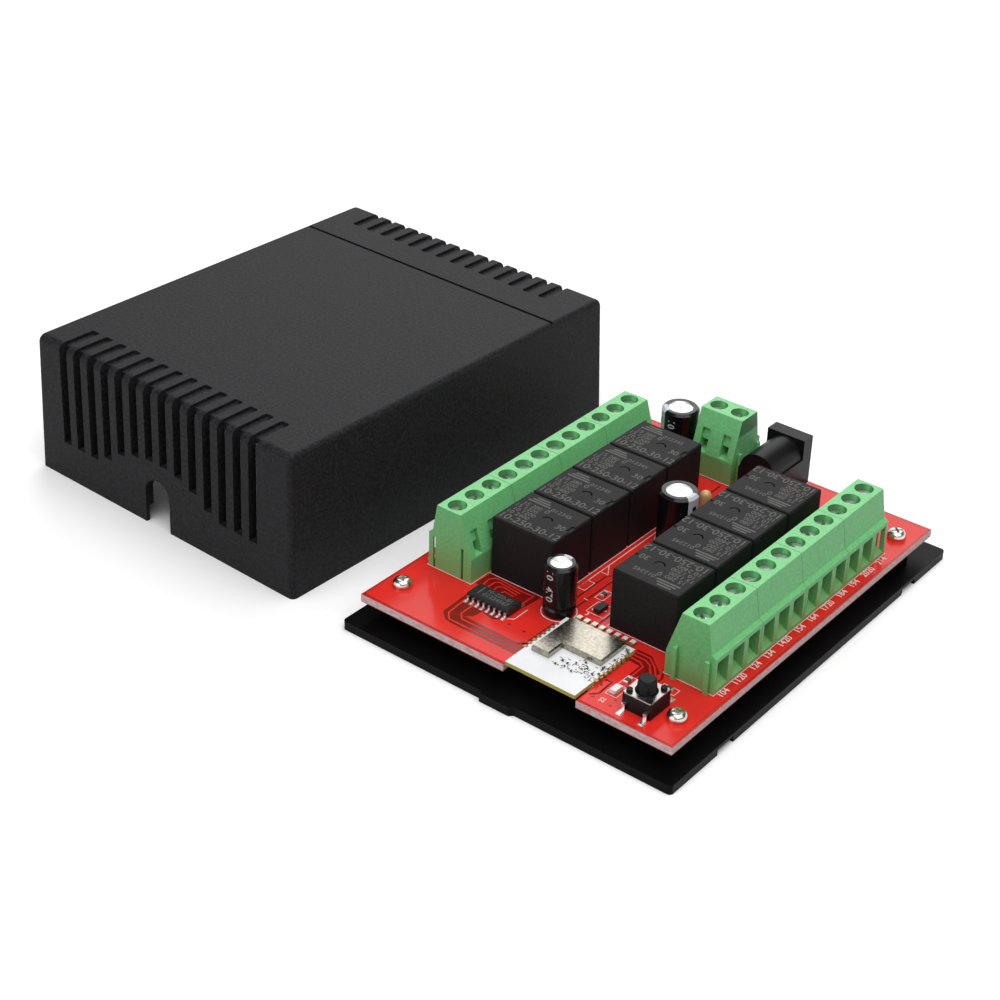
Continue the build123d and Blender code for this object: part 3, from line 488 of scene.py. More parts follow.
def place_lines(name, lines, height, width, thickness, finish):
    """Flat strips along lines, as one piece; the lines and height are line_curve's."""
    tree = bpy.data.node_groups.get("flat_lines") or line_tree()
    strips = run_tree(tree, line_curve(lines, height), {
        "Width": width, "Thickness": thickness, "Finish": finish,
    })
    place_piece(name, strips)


def place_studs(name, places, radius, top_radius, height, sides, finish):
    """A cone or disc on every place, as one piece; its measures are in millimetres."""
    tree = bpy.data.node_groups.get("studs_on_points") or stud_tree()
    studs = run_tree(tree, point_cloud(places), {
        "Radius": radius * MM, "Top Radius": top_radius * MM, "Height": height * MM,
        "Sides": sides, "Finish": finish,
    })
    place_piece(name, studs)


def rectangle(x, y, width, length):
    """The corners of a rectangle about its middle."""
    half, reach = width / 2, length / 2
    return [
        (x - half, y - reach), (x + half, y - reach), (x + half, y + reach), (x - half, y + reach),
    ]


def ring(x, y, radius, steps=40):
    angles = [2 * math.pi * step / steps for step in range(steps)]
    return [(x + radius * math.cos(angle), y + radius * math.sin(angle)) for angle in angles]


def footprint(name, margin):
    """A node's outline on the board, in millimetres, widened all round."""
    low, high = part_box(name)
    x = ((low[0] + high[0]) / 2 - BOARD_LOW.x) / MM
    y = ((low[1] + high[1]) / 2 - BOARD_LOW.y) / MM
    width = (high[0] - low[0]) / MM + 2 * margin
    length = (high[1] - low[1]) / MM + 2 * margin
    return x, y, width, length


# Names of the CAD nodes by kind, and the numbers of the capacitors
ROW_HOUSINGS = [f"terminal_{side}_{n}" for side in ("left", "right") for n in range(1, 5)]
HOUSINGS = ROW_HOUSINGS + ["power_terminal"]
RELAYS = [f"relay_{n}" for n in range(1, 9)]
CAPACITORS = [1, 2, 3]


# Settings that a user would change


class RelayBoardColours(bpy.types.PropertyGroup):
    case: bpy.props.FloatVectorProperty(
        name="Case", description="Colour of the base plate and the cover",
        subtype="COLOR", default=(0.015, 0.015, 0.0165), min=0, max=1,
    )
    lacquer: bpy.props.FloatVectorProperty(
        name="Lacquer", description="Colour of the circuit board's lacquer",
        subtype="COLOR", default=(0.74, 0.027, 0.02), min=0, max=1,
    )
    terminal: bpy.props.FloatVectorProperty(
        name="Terminals", description="Colour of the terminal housings",
        subtype="COLOR", default=(0.19, 0.6, 0.232), min=0, max=1,
    )
    relay: bpy.props.FloatVectorProperty(
        name="Relays", description="Colour of the relay cases",
        subtype="COLOR", default=(0.013, 0.0125, 0.0135), min=0, max=1,
    )
    print: bpy.props.FloatVectorProperty(
        name="Print", description="Colour of the board's printed lines and figures",
        subtype="COLOR", default=(0.85, 0.82, 0.8), min=0, max=1,
    )


class RelayBoardSizes(bpy.types.PropertyGroup):
    print_width: bpy.props.FloatProperty(
        name="Print line", description="Width of the printed lines",
        subtype="DISTANCE", unit="LENGTH", default=0.18 * MM, min=0.05 * MM, max=0.5 * MM,
    )
    track_width: bpy.props.FloatProperty(
        name="Track", description="Width of the copper tracks",
        subtype="DISTANCE", unit="LENGTH", default=0.4 * MM, min=0.1 * MM, max=1 * MM,
    )
    gap_width: bpy.props.FloatProperty(
        name="Track gap", description="Width of the bare lines beside the tracks",
        subtype="DISTANCE", unit="LENGTH", default=0.45 * MM, min=0.1 * MM, max=1 * MM,
    )
    figure_height: bpy.props.FloatProperty(
        name="Figures", description="Height of the pole numbers",
        subtype="DISTANCE", unit="LENGTH", default=1.95 * MM, min=0.5 * MM, max=3 * MM,
    )
    lamp_strength: bpy.props.FloatProperty(
        name="Lamps", description="Share of the lamps' usual strength",
        subtype="FACTOR", default=1.0, min=0, max=3,
    )


def colours():
    return bpy.context.scene.relay_board_colours


def sizes():
    return bpy.context.scene.relay_board_sizes


def colour_of(name):
    return tuple(getattr(colours(), name))


# Pieces


# How the cover stands, where its groove lies behind its middle, and how wide a band of painted
# shade darkens it
COVER_TURN = math.radians(-1.85)
COVER_GROOVE_PLACE = 30.5 * MM
COVER_GROOVE_PAINTED_SHADE = 0.8 * MM


class RELAYBOARD_OT_case(bpy.types.Operator):
    """Grained black plastic for the base plate and the cover"""

    bl_idname = "relayboard.case"
    bl_label = "Case"

    def execute(self, context):
        black = colour_of("case")
        cover = moulded_plastic(
            "cover_plastic", darker(black, 1.08), roughness=0.56, grain=1700, depth=0.06,
            spread=0.06, gloss=0.12, speckle=0.8,
        )
        plate = moulded_plastic(
            "plate_plastic", darker(black, 0.25), roughness=0.36, grain=1200, depth=0.008,
            gloss=0.06,
        )
        self.paint_groove_shade(cover)
        give_finish(cover, "cover")
        give_finish(plate, "base_plate")
        return {"FINISHED"}

    def paint_groove_shade(self, finish):
        """Paints shade into the fine groove across the cover's top, measured in the cover's own
        turn.
        """
        tree = finish.node_tree
        shader = tree.nodes["Principled BSDF"]
        turned = Matrix.Rotation(-COVER_TURN, 3, "Z")
        mapping = tree.nodes.new("ShaderNodeMapping")
        mapping.inputs["Rotation"].default_value = (0, 0, -COVER_TURN)
        mapping.inputs["Location"].default_value = -(turned @ node_middle("cover"))
        tree.links.new(object_position(tree), mapping.inputs["Vector"])
        along = split_axes(tree, mapping.outputs["Vector"])["Y"]
        near = math_of(tree, "COMPARE", along, COVER_GROOVE_PLACE, COVER_GROOVE_PAINTED_SHADE / 2)
        faces_up = math_of(tree, "GREATER_THAN", split_axes(tree, surface_normal(tree))["Z"], 0.9)
        # Painted shade: the groove's upward faces turn nearly black and rougher
        painted_groove_shade = math_of(tree, "MULTIPLY", near, faces_up)
        tint = mix_colour(tree, painted_groove_shade, base_colour_of(shader), (0.001, 0.001, 0.001))
        tree.links.new(tint, shader.inputs["Base Color"])
        rough = shader.inputs["Roughness"].links[0].from_socket
        rougher = math_of(tree, "MULTIPLY_ADD", painted_groove_shade, 0.4, rough)
        tree.links.new(rougher, shader.inputs["Roughness"])


class RELAYBOARD_OT_board(bpy.types.Operator):
    """Red lacquer on the circuit board, with pale cut edges"""

    bl_idname = "relayboard.board"
    bl_label = "Circuit board"

    def execute(self, context):
        finish = laminate(
            "board_lacquer", colour_of("lacquer"), (0.95, 0.75, 0.77), (0.7, 0.4, 0.42),
            gloss=0.18, under_line=(0.42, 0.16, 0.06),
        )
        give_finish(finish, "circuit_board")
        return {"FINISHED"}


# Places on the board are in millimetres from its front left corner. First the areas without
# copper: in front of the chip, behind it and beside the module
CHIP_FRONT_AREA = [
    [(15.0, 13.3), (15.3, 5.9), (19.6, 7.2), (20.9, 8.8), (20.9, 13.3)],
    [(15.3, 5.9), (17.2, 4.1), (18.9, 3.8), (33.9, 3.7), (34.2, 5.6), (34.2, 7.0), (19.6, 7.1)],
    [(32.3, 7.0), (34.2, 7.0), (34.2, 7.6), (33.7, 8.6)],
    [(20.9, 13.3), (21.0, 10.3), (23.8, 9.7), (25.1, 10.5), (24.2, 13.5)],
]
CHIP_BACK_AREA = [[(13.9, 17.0), (25.9, 16.2), (26.5, 21.2), (25.4, 21.5), (14.1, 21.5)]]
MODULE_SIDE_AREA = [
    [(49.9, 19.6), (50.5, 15.8), (57.0, 15.3), (57.3, 16.1), (53.1, 19.6)],
    [(53.2, 15.6), (53.2, 11.4), (54.1, 11.3), (54.9, 13.4), (55.0, 15.5)],
    [(54.9, 13.4), (56.9, 14.2), (57.0, 15.4), (54.9, 15.5)],
]
BARE_AREAS = CHIP_FRONT_AREA + CHIP_BACK_AREA + MODULE_SIDE_AREA
# Where the bare areas' undersides lie above the lacquer, and their thickness
BARE_FOOT = -0.01
BARE_THICKNESS = 0.016
# Lines left bare between areas of copper
GAP_LINES = [
    [(33.5, 16.4), (33.3, 8.9), (33.8, 8.1), (32.2, 6.9)],
    [(31.5, 22.6), (31.5, 35.0), (32.9, 37.0), (32.9, 49.0)],
    [(33.4, 22.6), (33.4, 34.0), (34.8, 36.0), (34.8, 47.0)],
    [(39.8, 21.6), (39.8, 44.0), (40.8, 46.0), (40.8, 62.0), (38.4, 64.4), (38.4, 74.0)],
    [(31.0, 60.0), (31.0, 72.0), (29.4, 73.6), (29.4, 78.0)],
    [(57.4, 17.0), (58.4, 15.2), (58.4, 12.0)],
    [(50.9, 8.4), (52.2, 8.4), (52.4, 4.4), (51.2, 3.0)],
    [(16.4, 72.4), (16.4, 76.6), (19.0, 79.0), (27.0, 79.0)],
    [(44.0, 74.0), (52.0, 74.0), (54.4, 76.4), (54.4, 84.0)],
]
# Copper tracks in the bare areas
TRACKS = [
    [(16.0, 11.6), (16.3, 6.2), (17.8, 4.6), (22.9, 4.6), (29.9, 4.6), (34.0, 4.6)],
    [(18.3, 11.9), (18.3, 7.4), (19.6, 6.1), (21.6, 6.1), (28.5, 6.2), (34.0, 6.2)],
    [(15.4, 17.4), (15.0, 19.7), (15.8, 20.9), (17.5, 20.9), (22.5, 20.5), (25.3, 20.7)],
    [(16.6, 17.4), (16.5, 19.6), (17.2, 20.2), (22.6, 19.7)],
    [(18.0, 17.4), (17.9, 18.8), (18.8, 19.4), (22.4, 18.9)],
    [(19.6, 17.4), (19.9, 18.4), (22.3, 18.1)],
    [(24.9, 16.4), (25.1, 20.4)],
    [(49.9, 18.8), (53.2, 18.9), (55.6, 17.0), (57.0, 15.1), (57.0, 14.2)],
    [(50.4, 17.8), (53.0, 17.8), (54.4, 17.1), (56.0, 15.0), (56.0, 13.9)],
    [(50.5, 16.8), (52.6, 16.7), (53.8, 15.8), (53.8, 11.8)],
]
# The border along the board's edges, open where the module is; then its width in gap widths
BORDER = [
    [(0.4, 0.4), (34.2, 0.4)],
    [(0.4, 0.4), (0.4, 91.6), (70.6, 91.6), (70.6, 0.4), (50.6, 0.4)],
]
BORDER_GAPS = 1.2
# Small plated holes
VIAS = [
    (27.3, 10.5), (30.8, 10.5), (32.6, 7.2), (20.4, 8.2), (17.6, 8.6), (50.3, 8.0),
    (51.3, 6.6), (49.9, 13.9), (55.8, 4.7), (56.0, 2.7), (52.1, 2.9), (66.2, 8.8),
    (10.0, 20.0), (31.0, 44.0), (39.0, 38.0), (36.8, 72.0), (45.0, 84.0), (54.0, 86.0),
    (60.0, 84.0), (8.0, 84.0), (12.0, 90.0),
]


class RELAYBOARD_OT_tracks(bpy.types.Operator):
    """Bare bands, copper tracks and small plated holes under the lacquer"""

    bl_idname = "relayboard.tracks"
    bl_label = "Tracks"

    def execute(self, context):
        red = colour_of("lacquer")
        dark_edge = ((0.3, 0.1, 0.1), (0.2, 0.05, 0.05))
        bare = laminate("bare_laminate", darker(red, 0.3), *dark_edge)
        margin = laminate("bare_margin", darker(red, 0.62), *dark_edge)
        track = laminate("lacquered_track", darker(red, 1.08), (0.6, 0.1, 0.08), (0.5, 0.06, 0.05))
        areas = flat_areas(BARE_AREAS, BARE_FOOT, BARE_THICKNESS)
        place_piece("bare_areas", areas, bare)
        gap = sizes().gap_width
        lifted = LIFT / MM
        for name, lines, height, width, thickness, finish in (
            ("bare_gaps", GAP_LINES, 0.0, gap, LIFT, bare),
            ("bare_border", BORDER, 0.0, BORDER_GAPS * gap, LIFT, margin),
            ("copper_tracks", TRACKS, lifted, sizes().track_width, 2 * LIFT, track),
        ):
            opened = [(line, False) for line in lines]
            place_lines(name, opened, height, width, thickness, finish)
        holes = [on_board(x, y) for x, y in VIAS]
        place_studs(
            "plated_holes", holes, radius=0.3, top_radius=0.22, height=0.03, sides=12,
            finish=bare,
        )
        return {"FINISHED"}


# How far a housing's ribs stand out at one end
RIB_REACH = 0.8
# Gaps between the parts and their printed outlines
RELAY_GAP = 0.2
HOUSING_GAP = 0.15
SOCKET_GAP = 0.25
SLEEVE_GAP = 0.25
LAMP_GAP = 0.55
# Widths and lengths of the printed outlines of the chip parts and the transistors
CHIP_PART_OUTLINE = (1.9, 3.3)
TRANSISTOR_OUTLINE = (4.0, 3.9)
TRANSISTORS = [(37.4, 25.3), (38.6, 49.0)]
# An outline with no part in it: its middle, width and length
EMPTY_OUTLINE = (30.4, 30.2, 1.6, 3.2)
# Open printed lines: the mark at the chip's end, the line beside the left relays and its arrow
OPEN_PRINT = [
    [(25.9, 11.6), (27.0, 12.4), (27.0, 16.4)],
    [(29.6, 28.8), (29.6, 71.6)],
    [(29.7, 38.5), (31.4, 35.8), (29.8, 35.8)],
]
# Height of the printed lines above the lacquer
PRINT_HEIGHT = 0.02
# The pole numbers' rows: side, place across the board and turn; then the first number
POLE_ROWS = (("right", 69.0, math.pi / 2), ("left", 2.1, -math.pi / 2))
FIRST_POLE = 10
# Small figures that stand alone: text, place and turn; then their size
LONE_FIGURES = (
    ("22", 54.0, 3.2, math.pi / 2),
    ("1", 33.2, 26.4, math.pi / 2),
    ("3", 36.2, 22.6, 0),
)
LONE_FIGURE_HEIGHT = 1.4 * MM


class RELAYBOARD_OT_board_print(bpy.types.Operator):
    """White outlines round the parts, and plain pole numbers along both rows"""

    bl_idname = "relayboard.board_print"
    bl_label = "Board print"

    def execute(self, context):
        white = ink("board_ink", colour_of("print"))
        width = sizes().print_width
        place_lines("printed_outlines", self.printed_lines(), PRINT_HEIGHT, width, LIFT, white)
        figures = print_mesh(self.figures(), thickness=0.01 * MM, weight=0.004)
        place_piece("printed_figures", figures, white)
        return {"FINISHED"}

    def printed_lines(self):
        """Every printed line, and whether it is closed."""
        outlined = [footprint(name, RELAY_GAP) for name in RELAYS + ["power_terminal"]]
        for name in ROW_HOUSINGS:
            x, y, width, length = footprint(name, HOUSING_GAP)
            inward = RIB_REACH / 2 if "right" in name else -RIB_REACH / 2
            outlined.append((x, y + inward, width, length - RIB_REACH))
        outlined.append(footprint("power_jack", SOCKET_GAP))
        outlined.append(footprint("indicator_lamp", LAMP_GAP))
        outlined.append(EMPTY_OUTLINE)
        outlined += [(*place, *TRANSISTOR_OUTLINE) for place in TRANSISTORS]
        for x, y, turned in CHIP_PARTS:
            size = CHIP_PART_OUTLINE[::-1] if turned else CHIP_PART_OUTLINE
            outlined.append((x, y, *size))
        lines = [(rectangle(*place), True) for place in outlined]
        for number in CAPACITORS:
            x, y, width, length = footprint(f"capacitor_sleeve_{number}", 0)
            lines.append((ring(x, y, width / 2 + SLEEVE_GAP), True))
        return lines + [(line, False) for line in OPEN_PRINT]

    def figures(self):
        """A number beside each pole of both rows, and the figures that stand alone."""
        words = []
        for side, x, turn in POLE_ROWS:
            for block in range(1, 5):
                low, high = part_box(f"terminal_{side}_{block}")
                for pole in range(3):
                    y = low[1] + (high[1] - low[1]) * (pole + 0.5) / 3
                    place = Vector((BOARD_LOW.x + x * MM, y, BOARD_HIGH.z + LIFT))
                    number = 3 * (block - 1) + pole + FIRST_POLE
                    ending = "20" if pole == 1 else "4"
                    words.append((f"{number}{ending}", place, turn, sizes().figure_height))
        for text, x, y, turn in LONE_FIGURES:
            words.append((text, on_board(x, y, LIFT / MM), turn, LONE_FIGURE_HEIGHT))
        return words


# How far down from a housing's top its walls get painted shade, how much, and the darker green of
# that painted shade; and how far up from the board a housing's green is mixed with olive
WELL_SHADE_DEPTH = 3.6 * MM
WELL_SHADE = 0.75
WELL_SHADE_GREEN = 0.28
OLIVE_HEIGHT = 6 * MM


class RELAYBOARD_OT_terminals(bpy.types.Operator):
    """Green plastic for the terminal housings with painted shade in their wells, plated steel for
    their screws, and a darker copy of it for their cages as painted shade
    """

    bl_idname = "relayboard.terminals"
    bl_label = "Terminals"

    def execute(self, context):
        green = colour_of("terminal")
        finish = moulded_plastic(
            "terminal_plastic", green, roughness=0.38, grain=1800, depth=0.03,
            spread=0.05, gloss=0.3, speckle=0.12,
        )
        tree = finish.node_tree
        shader = tree.nodes["Principled BSDF"]
        level = split_axes(tree, object_position(tree))["Z"]
        above = math_of(tree, "SUBTRACT", level, BOARD_HIGH.z)
        rise = math_of(tree, "DIVIDE", above, OLIVE_HEIGHT)
        low_share = math_of(tree, "SUBTRACT", 1.0, rise)
        low_share = math_of(tree, "MINIMUM", math_of(tree, "MAXIMUM", low_share, 0.0), 1.0)
        olive = (green[0] * 1.15, green[1] * 0.82, green[2] * 0.72)
        faded = mix_colour(tree, low_share, base_colour_of(shader), olive)
        # Painted shade: the upper walls of the screw wells and probe slots turn a darker green
        well = mix_colour(tree, self.painted_well_shade(tree, level), faded, darker(green, WELL_SHADE_GREEN))
        tree.links.new(well, shader.inputs["Base Color"])
        shader.inputs["Subsurface Weight"].default_value = 0.14
        shader.inputs["Subsurface Radius"].default_value = (0.4, 0.9, 0.4)
        shader.inputs["Subsurface Scale"].default_value = 2 * MM
        give_finish(finish, *HOUSINGS)
        screws = plated_metal("clamp_steel", (0.95, 0.96, 0.94), roughness=0.34)
        give_finish(screws, "terminal_screws")
        # The cages' steel is darkened as painted shade inside the housings
        cages = plated_metal("cage_steel", (0.4, 0.38, 0.34), roughness=0.45)
        give_finish(cages, "terminal_cages")
        return {"FINISHED"}

    def painted_well_shade(self, tree, level):
        """Share of painted shade: upright walls near the top, and so the screw wells and probe
        slots.

        Walls that face along the board, as a row's end faces do, are left out.
        """
        normal = split_axes(tree, surface_normal(tree))
        upright = math_of(tree, "LESS_THAN", math_of(tree, "ABSOLUTE", normal["Z"]), 0.05)
        end_face = math_of(tree, "POWER", math_of(tree, "ABSOLUTE", normal["Y"]), 12)
        well_wall = math_of(tree, "SUBTRACT", upright, end_face)
        foot = node_top("terminal_left_1") - WELL_SHADE_DEPTH
        high_up = math_of(tree, "GREATER_THAN", level, foot)
        share = math_of(tree, "MULTIPLY", math_of(tree, "MAXIMUM", well_wall, 0.0), high_up)
        return math_of(tree, "MULTIPLY", share, WELL_SHADE)


# Plain figures on a relay: text, place across and along from its middle, size
RELAY_FIGURES = (
    ("10-250-30-12", 0.2, -4.3, 2.6),
    ("10 2400", -4.0, -2.4, 1.6),
    ("10 1200", -3.6, -1.0, 1.6),
    ("15 1200", -4.1, 0.4, 1.6),
    ("15 280", -3.7, 1.8, 1.6),
    ("012345", 2.2, 3.1, 1.6),
    ("30", 5.0, -1.0, 2.2),
    ("0", -0.3, 1.9, 1.9),
)
# Bars on a relay: how many, the first one's place and length, and what each next one adds
BARS = 3
BAR_ACROSS = -3.3
BAR_ALONG = 3.4
BAR_LENGTH = 5.2
BAR_STEP = 0.75
BAR_SHORTER = 1.1
BAR_WIDTH = 0.42
BAR_THICKNESS = 0.008
# The painted shade of a relay's vent, an arc of dark strips: its middle, lift and radius, how many
# strips, the first one's angle and the step to the next in degrees, and a strip's size
VENT_ACROSS = 1.4
VENT_ALONG = -0.4
VENT_LIFT = 0.003
VENT_RADIUS = 1.05
VENT_STRIPS = 9
VENT_START = 20
VENT_STEP = 18
VENT_STRIP_SIZE = (0.36 * MM, 0.3 * MM, 0.012 * MM)


class RELAYBOARD_OT_relays(bpy.types.Operator):
    """Dark relay cases with plain grey figures and bars, and painted shade for the arc of a vent
    on top
    """

    bl_idname = "relayboard.relays"
    bl_label = "Relays"

    def execute(self, context):
        case = moulded_plastic(
            "relay_plastic", colour_of("relay"), roughness=0.52, grain=2200, depth=0.03,
            spread=0.1, gloss=0.12, speckle=0.4,
        )
        give_finish(case, *RELAYS)
        grey = ink("relay_ink", (0.105, 0.103, 0.098), roughness=0.6)
        shade = ink("vent_shade", (0.003, 0.003, 0.003), roughness=0.9, gloss=0.0)
        words = []
        bars = []
        strips = []
        for order in range(len(RELAYS)):
            for text, across, along, height in RELAY_FIGURES:
                place, turn = self.place_on(order, across, along)
                words.append((text, place, turn, height * MM))
            for bar in range(BARS):
                along = BAR_ALONG + BAR_STEP * bar
                place, turn = self.place_on(order, BAR_ACROSS, along, BAR_THICKNESS / 2)
                length = BAR_LENGTH - BAR_SHORTER * bar
                size = Vector((length * MM, BAR_WIDTH * MM, BAR_THICKNESS * MM))
                bars.append((place, size, turn, 0))
            strips += self.vent_arc(order)
        place_piece("relay_figures", print_mesh(words, weight=0.008), grey)
        place_piece("relay_vents", mesh_from_boxes(strips), shade)
        place_piece("relay_bars", mesh_from_boxes(bars), grey)
        return {"FINISHED"}

    def place_on(self, order, across, along, lift=0.0):
        """A place on a relay's top, and the relay's turn: the right four stand half round."""
        name = RELAYS[order]
        turn = 0 if order < len(RELAYS) / 2 else math.pi
        middle = node_middle(name)
        offset = Matrix.Rotation(turn, 3, "Z") @ Vector((across * MM, along * MM, 0))
        level = node_top(name) + lift * MM
        return Vector((middle.x + offset.x, middle.y + offset.y, level)), turn

    def vent_arc(self, order):
        """Short dark strips round nearly half a turn, the vent's painted shade."""
        centre = self.place_on(order, VENT_ACROSS, VENT_ALONG, VENT_LIFT)[0]
        strips = []
        for step in range(VENT_STRIPS):
            angle = math.radians(VENT_START + VENT_STEP * step)
            arm = VENT_RADIUS * MM * Vector((math.cos(angle), math.sin(angle), 0))
            strips.append((centre + arm, Vector(VENT_STRIP_SIZE), angle + math.pi / 2, 0))
        return strips


# By capacitor, in radians from +X: where its sleeve's stripe and figures face; then the
# stripe's half width
STRIPE_TURNS = {1: 1.6, 2: -0.1, 3: -2.35}
FIGURE_TURNS = {1: -1.66, 2: 2.4, 3: -1.5}
STRIPE_HALF = 0.4
# The figures on a sleeve: text, and place along it; then their size, height up the sleeve
# and distance off it
SLEEVE_FIGURES = (("10", -3.3), ("470", 0.9))
SLEEVE_FIGURE_HEIGHT = 2.2 * MM
SLEEVE_FIGURE_LEVEL = 5.9 * MM
SLEEVE_FIGURE_LIFT = 0.04 * MM


class RELAYBOARD_OT_capacitors(bpy.types.Operator):
    """Glossy sleeves with a pale stripe and plain figures, bright can tops, black bungs"""

    bl_idname = "relayboard.capacitors"
    bl_label = "Capacitors"

    def execute(self, context):
        figures = bmesh.new()
        for number in CAPACITORS:
            name = f"capacitor_sleeve_{number}"
            low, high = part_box(name)
            middle = node_middle(name)
            radius = (high[0] - low[0]) / 2
            finish = shrink_sleeve(
                f"sleeve_{number}", (0.006, 0.006, 0.007), (0.55, 0.57, 0.62), middle,
                STRIPE_TURNS[number], STRIPE_HALF, low[2], high[2] - low[2],
            )
            give_finish(finish, name)
            level = low[2] + SLEEVE_FIGURE_LEVEL
            self.wrap_figures(figures, middle, radius, level, FIGURE_TURNS[number])
        mesh = bpy.data.meshes.new("sleeve_figures")
        figures.to_mesh(mesh)
        figures.free()
        pale = ink("sleeve_ink", (0.62, 0.62, 0.66))
        place_piece("sleeve_figures", mesh, pale)
        top = plated_metal(
            "can_aluminium", (0.9, 0.9, 0.91), roughness=0.45, grain=700, stretch=(1, 9, 1),
        )
        give_finish(top, *[f"capacitor_can_{number}" for number in CAPACITORS])
        give_finish(moulded_plastic("bung_rubber", (0.02, 0.02, 0.02), 0.7), "capacitor_bungs")
        return {"FINISHED"}

    def wrap_figures(self, joined, middle, radius, level, turn):
        """Figures that run down a sleeve, bent round it."""
        flat = print_mesh([
            (text, Vector((along * MM, 0, 0)), 0, SLEEVE_FIGURE_HEIGHT)
            for text, along in SLEEVE_FIGURES
        ])
        for vert in flat.vertices:
            angle = turn + vert.co.y / radius
            out = radius + SLEEVE_FIGURE_LIFT + vert.co.z
            height = level - vert.co.x
            vert.co = (middle.x + out * math.cos(angle), middle.y + out * math.sin(angle), height)
        joined.from_mesh(flat)
        bpy.data.meshes.remove(flat)


class RELAYBOARD_OT_socket(bpy.types.Operator):
    """Satin black power socket"""

    bl_idname = "relayboard.socket"
    bl_label = "Power socket"

    def execute(self, context):
        black = moulded_plastic(
            "socket_plastic", (0.007, 0.007, 0.0075), roughness=0.4, grain=2000, depth=0.012,
            gloss=0.15,
        )
        give_finish(black, "power_jack")
        return {"FINISHED"}


class RELAYBOARD_OT_metal(bpy.types.Operator):
    """Plated and tinned metal for screws, pins, leads and contacts"""

    bl_idname = "relayboard.metal"
    bl_label = "Plated metal"

    def execute(self, context):
        nickel = plated_metal("screw_nickel", (0.72, 0.68, 0.61), roughness=0.2, grain=500)
        tin = plated_metal("lead_tin", (0.9, 0.9, 0.88), roughness=0.28, grain=1200)
        give_finish(nickel, "board_screws", "jack_pin")
        give_finish(
            tin, "relay_pins", "capacitor_leads", "jack_tabs", "driver_chip_leads", "button_legs",
            "transistor_leads", "bead_leads",
        )
        return {"FINISHED"}


# Behind this line, from the board's front edge, the module's contacts are tinned on their upward
# faces: partly real tin, partly a painted highlight
TINNED_FROM = 19.6
# The open corner of the module: its random traces and small parts, in the board's millimetres
BITS = 84
BITS_SEED = 11
SIDE_STRIP = ((49.0, 50.0), (7.0, 17.6))
FRONT_STRIP = ((41.2, 50.0), (5.3, 9.7))
TRACE_LENGTHS = (0.3, 0.9)
TRACE_WIDTH = 0.16
TRACE_THICKNESS = 0.01
BIT_SIZE = (0.6, 0.34, 0.28)
BIT_END_SIZE = (0.18, 0.38, 0.3)
BIT_END_REACH = 0.32 * MM
BIT_BEVEL = 0.03 * MM
# The module's contacts: their two columns, where they start on it, their pitch and number,
# and the height of their solder as a share of the module's top
CONTACT_COLUMNS = (34.4, 50.4)
CONTACT_START = 6.1
CONTACT_PITCH = 1.33
CONTACTS = 8
CONTACT_LEVEL = 0.55


